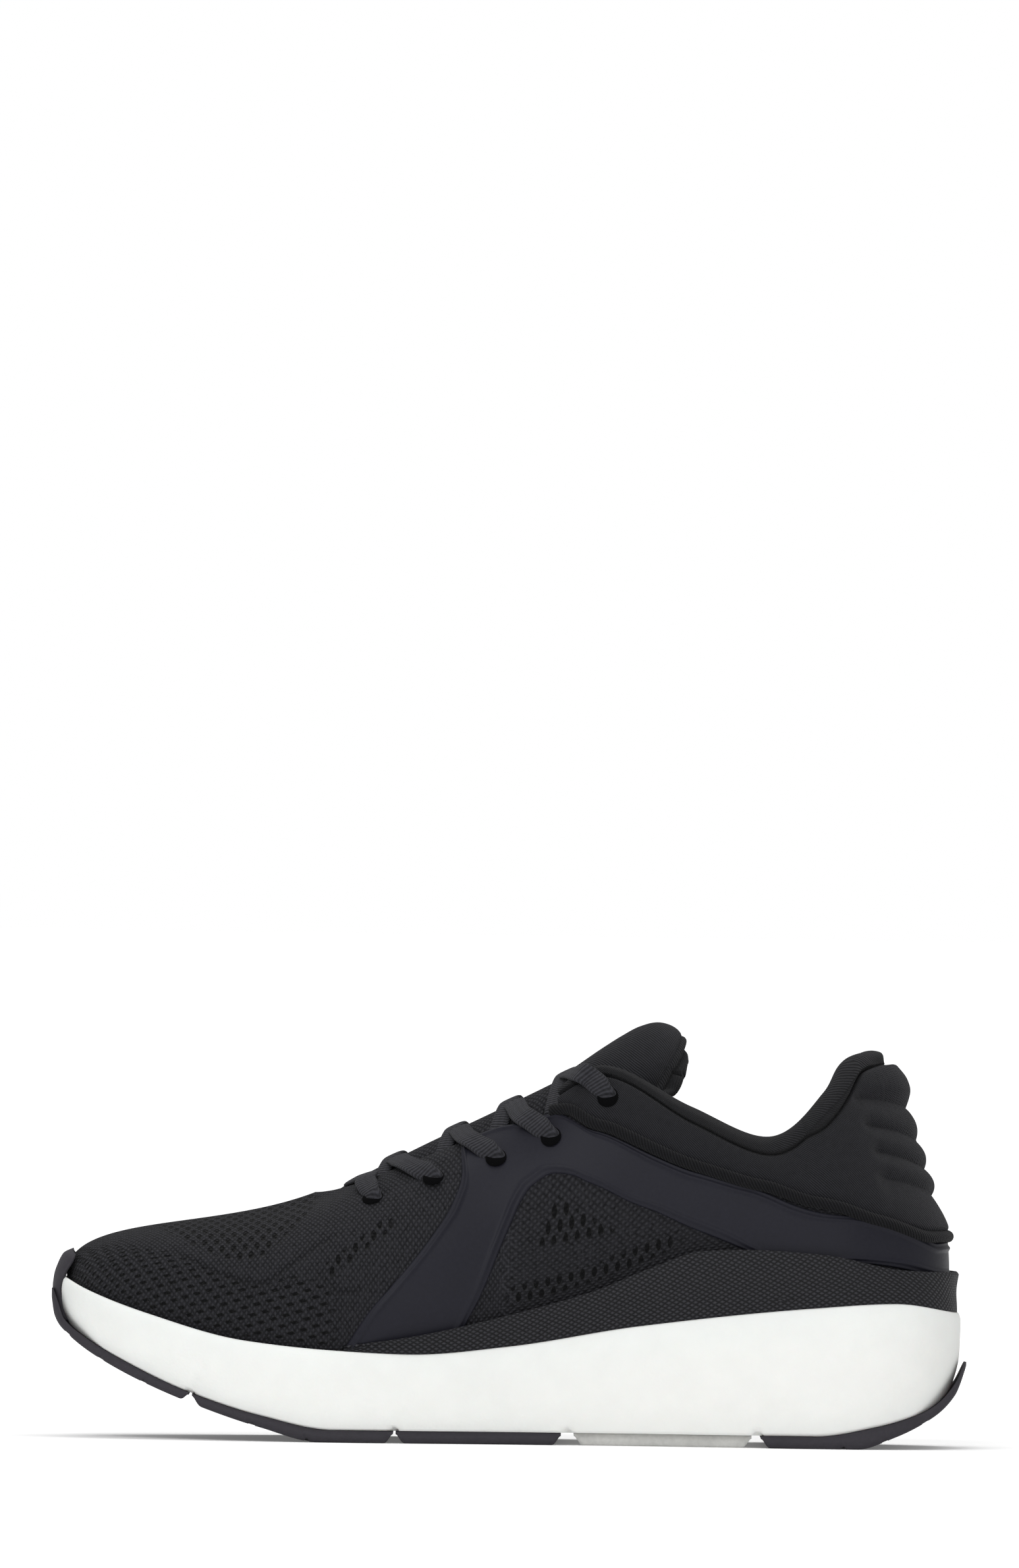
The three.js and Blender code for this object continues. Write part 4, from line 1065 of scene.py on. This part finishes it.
def tongue_base():
    """Knitted blade under the lacing, thicker towards the padded top."""
    def place(u, v):
        x = mix(TONGUE_FRONT, TONGUE_SPLIT + 1.5, u)
        around = v * 2
        across = np.where(around < 1, 2 * around - 1, 3 - 2 * around)
        thick = mix(3.6, 7.6, smooth(x, -6, 20))
        depth = np.where(around < 1, 0.0, thick * (1 - across**8))
        return tongue_point(x, across, depth)

    piece = sheet("tongue_blade", 110, 96, place, FINISH["knit"], closed=True,
                  zones={"wale": length_place, "course": lambda u, v, points: points[..., 1]})
    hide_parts("tongue_base")


def tongue_end(across):
    return TONGUE_TIP - 9.0 * np.abs(across) ** 3.2


def tongue_cover():
    """Twill outer face of the padded top, turned under at its end seam."""
    def place(u, v):
        across = 2 * u - 1
        end = tongue_end(across)
        x = mix(TONGUE_SPLIT - 1.5, end, v)
        side = smooth(1 - np.abs(across), 0, 0.12)
        over = np.clip((v - 0.7) / 0.3, 0, 1)
        fold = 4.4 * (1 - np.sqrt(np.maximum(1 - over**2, 0)))
        depth = 2.4 * (1 - side) + fold - 0.9 * np.clip(np.sin(np.pi * v), 0, 1) ** 0.5 * side
        return tongue_point(x, across * 0.97, depth)

    piece = sheet("tongue_outer", 90, 70, place, FINISH["twill"], body=TONGUE_TOP, thickness=1.1)
    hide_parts("tongue_top_shell", "tongue_top_foam")


def tongue_lining():
    """Lining of the padded top: a roll round the end seam, a tuck, then the padded back."""
    reach = profile([(0, -2.4), (0.05, -0.4), (0.1, 0.9), (0.16, 1.4), (0.22, 1.0), (0.28, 0.4),
                     (0.4, 1.6), (0.52, 1.7), (0.62, 0.4), (0.72, -3), (1, -30)])
    drop = profile([(0, 4.0), (0.05, 4.1), (0.1, 4.3), (0.16, 5.0), (0.22, 6.2), (0.28, 7.4), (0.4, 9.6),
                    (0.52, 11.6), (0.62, 12.6), (0.72, 12.4), (1, 8)])

    def place(u, v):
        across = 2 * u - 1
        lag = smooth(v, 0.16, 0.42) * 0.85 * (1 - np.abs(across) ** 9)
        end = mix(tongue_end(across), TONGUE_TIP, lag)
        x = np.maximum(end + reach(v), TONGUE_SPLIT - 1.5)
        edge = smooth(1 - np.abs(across), 0, 0.1)
        depth = mix(2.6, drop(v) * (1 - 0.36 * across**2), edge)
        return tongue_point(x, across * 0.985, depth)

    piece = sheet("tongue_back", 90, 90, place, FINISH["lining"], body=TONGUE_TOP, thickness=0.9)
    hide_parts("tongue_top_lining")


# ---------------------------------------------------------------- lacing
LACE_OUT, LACE_IN = 1.9, -5.2  # middle of the lace, off the skin outside and inside the shoe
EYELET_RADIUS = 3.3


def lace_knot(side, t, v, offset, facing):
    """Point of the lace's path and its up: facing is a direction, or a share of the skin's normal."""
    place = flip(t, side)
    up = skin_normal(place, v) * facing if np.ndim(facing) == 0 else facing
    return layer(place, v, offset), up


def through_eyelet(side, row, sign, depth):
    """Down through an eyelet to the given depth inside."""
    t, v = eyelets[row]
    place = flip(t, side)
    to_edge = unit(skin(place, v + 0.01) - skin(place, v))
    return [lace_knot(side, t, v, LACE_OUT - 1, -0.8 * sign * to_edge + 0.6 * sign * skin_normal(place, v)),
            lace_knot(side, t, v, depth + 1.6, -sign * to_edge)]


def other(side):
    return "lateral" if side == "medial" else "medial"


def edge_t(x):
    """t where the throat edge passes x on the medial side."""
    t = np.linspace(0.15, 0.4, 400)
    return float(np.interp(x, edge_curve(t)[:, 0], t))


def lace_leg(side, row, rise, sign):
    """From the inside of one eyelet, over the tongue, to the outside of the next one across."""
    (t0, v0), (t1, v1) = eyelets[row], eyelets[row + 1]
    lands = EYELETS[row + 1][0]
    under, over = edge_t(lands - 19.0), edge_t(lands - 8.8)
    crown_x = lands - 13.0
    crown = tongue_point(np.array(crown_x), np.array(0.0), np.array(0.2 - rise))
    return [
        *through_eyelet(side, row, sign, LACE_IN),
        lace_knot(side, mix(t0, under, 0.6), mix(v0, 0.985, 0.6), LACE_IN, -sign),
        lace_knot(side, under, 0.985, LACE_IN + 1.2, -sign),
        (crown, -sign * np.array([-0.42, 0, 0.9])),
        lace_knot(other(side), over, 0.985, LACE_OUT - 0.3, -sign),
        lace_knot(other(side), mix(t1, over, 0.5), mix(v1, 1, 0.45), LACE_OUT - 0.2, -sign),
    ]


# Steps in t, v and offset of the tails, tucked down inside from the top eyelets.
TUCK = [(-0.004, 0.74, -9.6), (-0.022, 0.63, -9), (-0.05, 0.56, -7.4), (-0.08, 0.52, -6.4),
        (-0.104, 0.47, -6.4), (-0.112, 0.4, -6.4), (-0.1, 0.34, -6.4), (-0.078, 0.33, -6.4),
        (-0.056, 0.35, -7)]


def lace_tail(side, sign):
    top = eyelets[4][0]
    return [*through_eyelet(side, 4, sign, LACE_IN - 2.6),
            *(lace_knot(side, top + dt, v, offset, -sign) for dt, v, offset in TUCK)]


def lace_half(first):
    """Crossings from the lowest eyelet on one side up to its tucked tail."""
    knots = []
    for row in range(4):
        side = first if row % 2 == 0 else other(first)
        over = (row % 2 == 0) == (first == "medial")
        knots += lace_leg(side, row, 1.1 if over else 0.0, 1 if row % 2 == 0 else -1)
    return knots + lace_tail(first, 1)


def lace():
    t, v = eyelets[0]
    crown = tongue_point(np.array(-49.0), np.array(0.0), np.array(0.0))
    over = edge_t(-48.5)
    bar = [lace_knot("medial", mix(t, over, 0.5), mix(v, 1, 0.5), LACE_OUT, 1),
           lace_knot("medial", over, 0.985, LACE_OUT - 0.6, 1),
           (crown, np.array([-0.5, 0, 0.86])),
           lace_knot("lateral", over, 0.985, LACE_OUT - 0.6, 1),
           lace_knot("lateral", mix(t, over, 0.5), mix(v, 1, 0.5), LACE_OUT, 1)]
    knots = lace_half("medial")[::-1] + bar + lace_half("lateral")
    points = np.array([k[0] for k in knots])
    holes = np.array([layer(flip(t, side), v, 0.0) for side in ("medial", "lateral") for t, v in eyelets])

    def shape(s, angle):
        """Flat, but squeezed round and thick where it passes an eyelet."""
        at = open_curve(points, np.ravel(s) * (len(points) - 1)).reshape(*np.shape(s), 3)
        near = np.min(np.linalg.norm(at[..., None, :] - holes, axis=-1), axis=-1)
        half = mix(2.7, 3.45, smooth(near, 1.0, 4.5))
        thick = mix(1.1, 0.75, smooth(near, 1.0, 4.5))
        c, d = np.cos(angle), np.sin(angle)
        return half * np.sign(c) * np.abs(c) ** 0.6, thick * np.sign(d) * np.abs(d) ** 0.8

    piece = swept("flat_lace", knots, 1300, 20, shape, FINISH["lace"])
    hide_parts("lace")


def eyelet_hole_shades():
    """Dark discs with a slightly raised lip, painted shade for the inside of the punched eyelet holes, one
    piece for each side.
    """
    for side in ("medial", "lateral"):
        bm = bmesh.new()
        for t, v in eyelets:
            place = flip(t, side)
            normal = Vector(skin_normal(place, v))
            proud = 1.1 if EYELETS[0][0] < skin(t, v)[0] - 5 else 0.3
            disc = bmesh.ops.create_circle(bm, cap_ends=True, radius=EYELET_RADIUS * MM, segments=32)
            turn = normal.to_track_quat("Z", "Y").to_matrix().to_4x4()
            # Set a little away from the throat edge, so a crescent of painted shade shows below the lace
            # end.
            turn.translation = Vector(layer(place, v - 0.7 / stretch(place, v), proud) * MM)
            bmesh.ops.transform(bm, matrix=turn, verts=disc["verts"])
            cap = [face for face in bm.faces if disc["verts"][0] in face.verts]
            solid = bmesh.ops.extrude_face_region(bm, geom=cap)
            top = [g for g in solid["geom"] if isinstance(g, bmesh.types.BMVert)]
            bmesh.ops.translate(bm, vec=normal * 0.25 * MM, verts=top)
        bmesh.ops.recalc_face_normals(bm, faces=bm.faces)
        finish_mesh("eyelet_hole_shades_" + side, bm, FINISH["hole"])


# ---------------------------------------------------------------- what stays as made in the frame
def finish_nodes():
    kept = {
        "board": ["strobel_board"],
        "stiff": ["toe_puff", "heel_counter"],
        "stay": ["eyestay_medial", "eyestay_lateral"],
        "padding": ["collar_foam", "sockliner_foam"],
        "lining": ["sockliner_cloth"],
        "aglet": ["aglet_medial", "aglet_lateral"],
    }
    for finish, names in kept.items():
        for name in names:
            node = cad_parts[name]
            node.data.materials.clear()
            node.data.materials.append(FINISH[finish])


# ---------------------------------------------------------------- stage
SURROUND = 0.5  # strength of the even light from all round


def stage():
    """Pale sweep: lit like paper and glowing faintly near the shoe, which lightens its shadow, and glowing
    white further off.
    """
    bm = bmesh.new()
    bmesh.ops.create_grid(bm, x_segments=1, y_segments=1, size=30)
    mesh = bpy.data.meshes.new("floor")
    bm.to_mesh(mesh)
    bm.free()
    floor = bpy.data.objects.new("floor", mesh)
    bpy.context.scene.collection.objects.link(floor)
    finish = Finish("glowing_floor_paper", (0.93, 0.93, 0.93), 1.0, Specular_IOR_Level=0.0,
                    Emission_Color=(1, 1, 1, 1))
    x, y, _ = finish.axes(finish.place, unit=1.0)
    # Painted glow: the floor emits more light the further it lies from the shoe.
    away = (x * x + y * y).math("SQRT").step(0.2, 1.6)
    finish.set("Emission Color", finish.blend(away, (0.12, 0.12, 0.12, 1), (0.7, 0.7, 0.7, 1)))
    finish.shader.inputs["Emission Strength"].default_value = 1.0
    mesh.materials.append(finish.material)


def light(name, place, aim, size, power):
    data = bpy.data.lights.new(name, "AREA")
    data.shape = "RECTANGLE"
    data.size, data.size_y = size
    data.energy = power
    lamp = bpy.data.objects.new(name, data)
    lamp.location = place
    lamp.rotation_euler = (Vector(aim) - Vector(place)).to_track_quat("-Z", "Y").to_euler()
    bpy.context.scene.collection.objects.link(lamp)


def sky():
    """Even studio surround, seen as white by the camera and softer as light."""
    world = bpy.data.worlds.new("studio")
    world.use_nodes = True
    tree = world.node_tree
    tree.nodes["Background"].inputs["Strength"].default_value = SURROUND
    white = tree.nodes.new("ShaderNodeBackground")
    for glow in (white, tree.nodes["Background"]):
        glow.inputs["Color"].default_value = (1, 1, 1, 1)
    blend = tree.nodes.new("ShaderNodeMixShader")
    path = tree.nodes.new("ShaderNodeLightPath")
    tree.links.new(path.outputs["Is Camera Ray"], blend.inputs[0])
    tree.links.new(tree.nodes["Background"].outputs[0], blend.inputs[1])
    tree.links.new(white.outputs[0], blend.inputs[2])
    tree.links.new(blend.outputs[0], tree.nodes["World Output"].inputs["Surface"])
    bpy.context.scene.world = world


def lights():
    sky()
    light("key", (-0.5, -1.5, 1.4), (0, 0, 0.06), (1.2, 0.9), 16)
    light("front", (0.5, -1.9, 0.5), (0, 0, 0.05), (1.0, 0.8), 5)
    light("top", (0.1, 0.2, 1.7), (0, 0, 0.05), (1.6, 1.4), 14)


def camera():
    """Square to the side of the shoe, held a little askew, so that the heel sits lower."""
    distance = 9.0
    to_shoe = distance - 0.022  # to the nearer flank
    view_height = 0.485714  # metres that the view takes in at the shoe
    roll = math.radians(0.86)
    data = bpy.data.cameras.new("camera")
    data.sensor_fit = "VERTICAL"
    data.sensor_height = 36.0
    data.lens = data.sensor_height * to_shoe / view_height
    data.clip_end = 90
    eye = bpy.data.objects.new("camera", data)
    eye.location = (-0.0024, -distance, 0.2042)
    eye.rotation_euler = (math.radians(90), -roll, 0)
    bpy.context.scene.collection.objects.link(eye)
    bpy.context.scene.camera = eye


camera()
lights()
stage()
outsole()
midsole()
knit_upper()
for each in ("medial", "lateral"):
    film_overlay(each)
cradle()
collar_panel()
collar_lining()
piping()
tongue_base()
tongue_cover()
tongue_lining()
lace()
eyelet_hole_shades()
finish_nodes()
bpy.context.scene.view_settings.view_transform = "Standard"
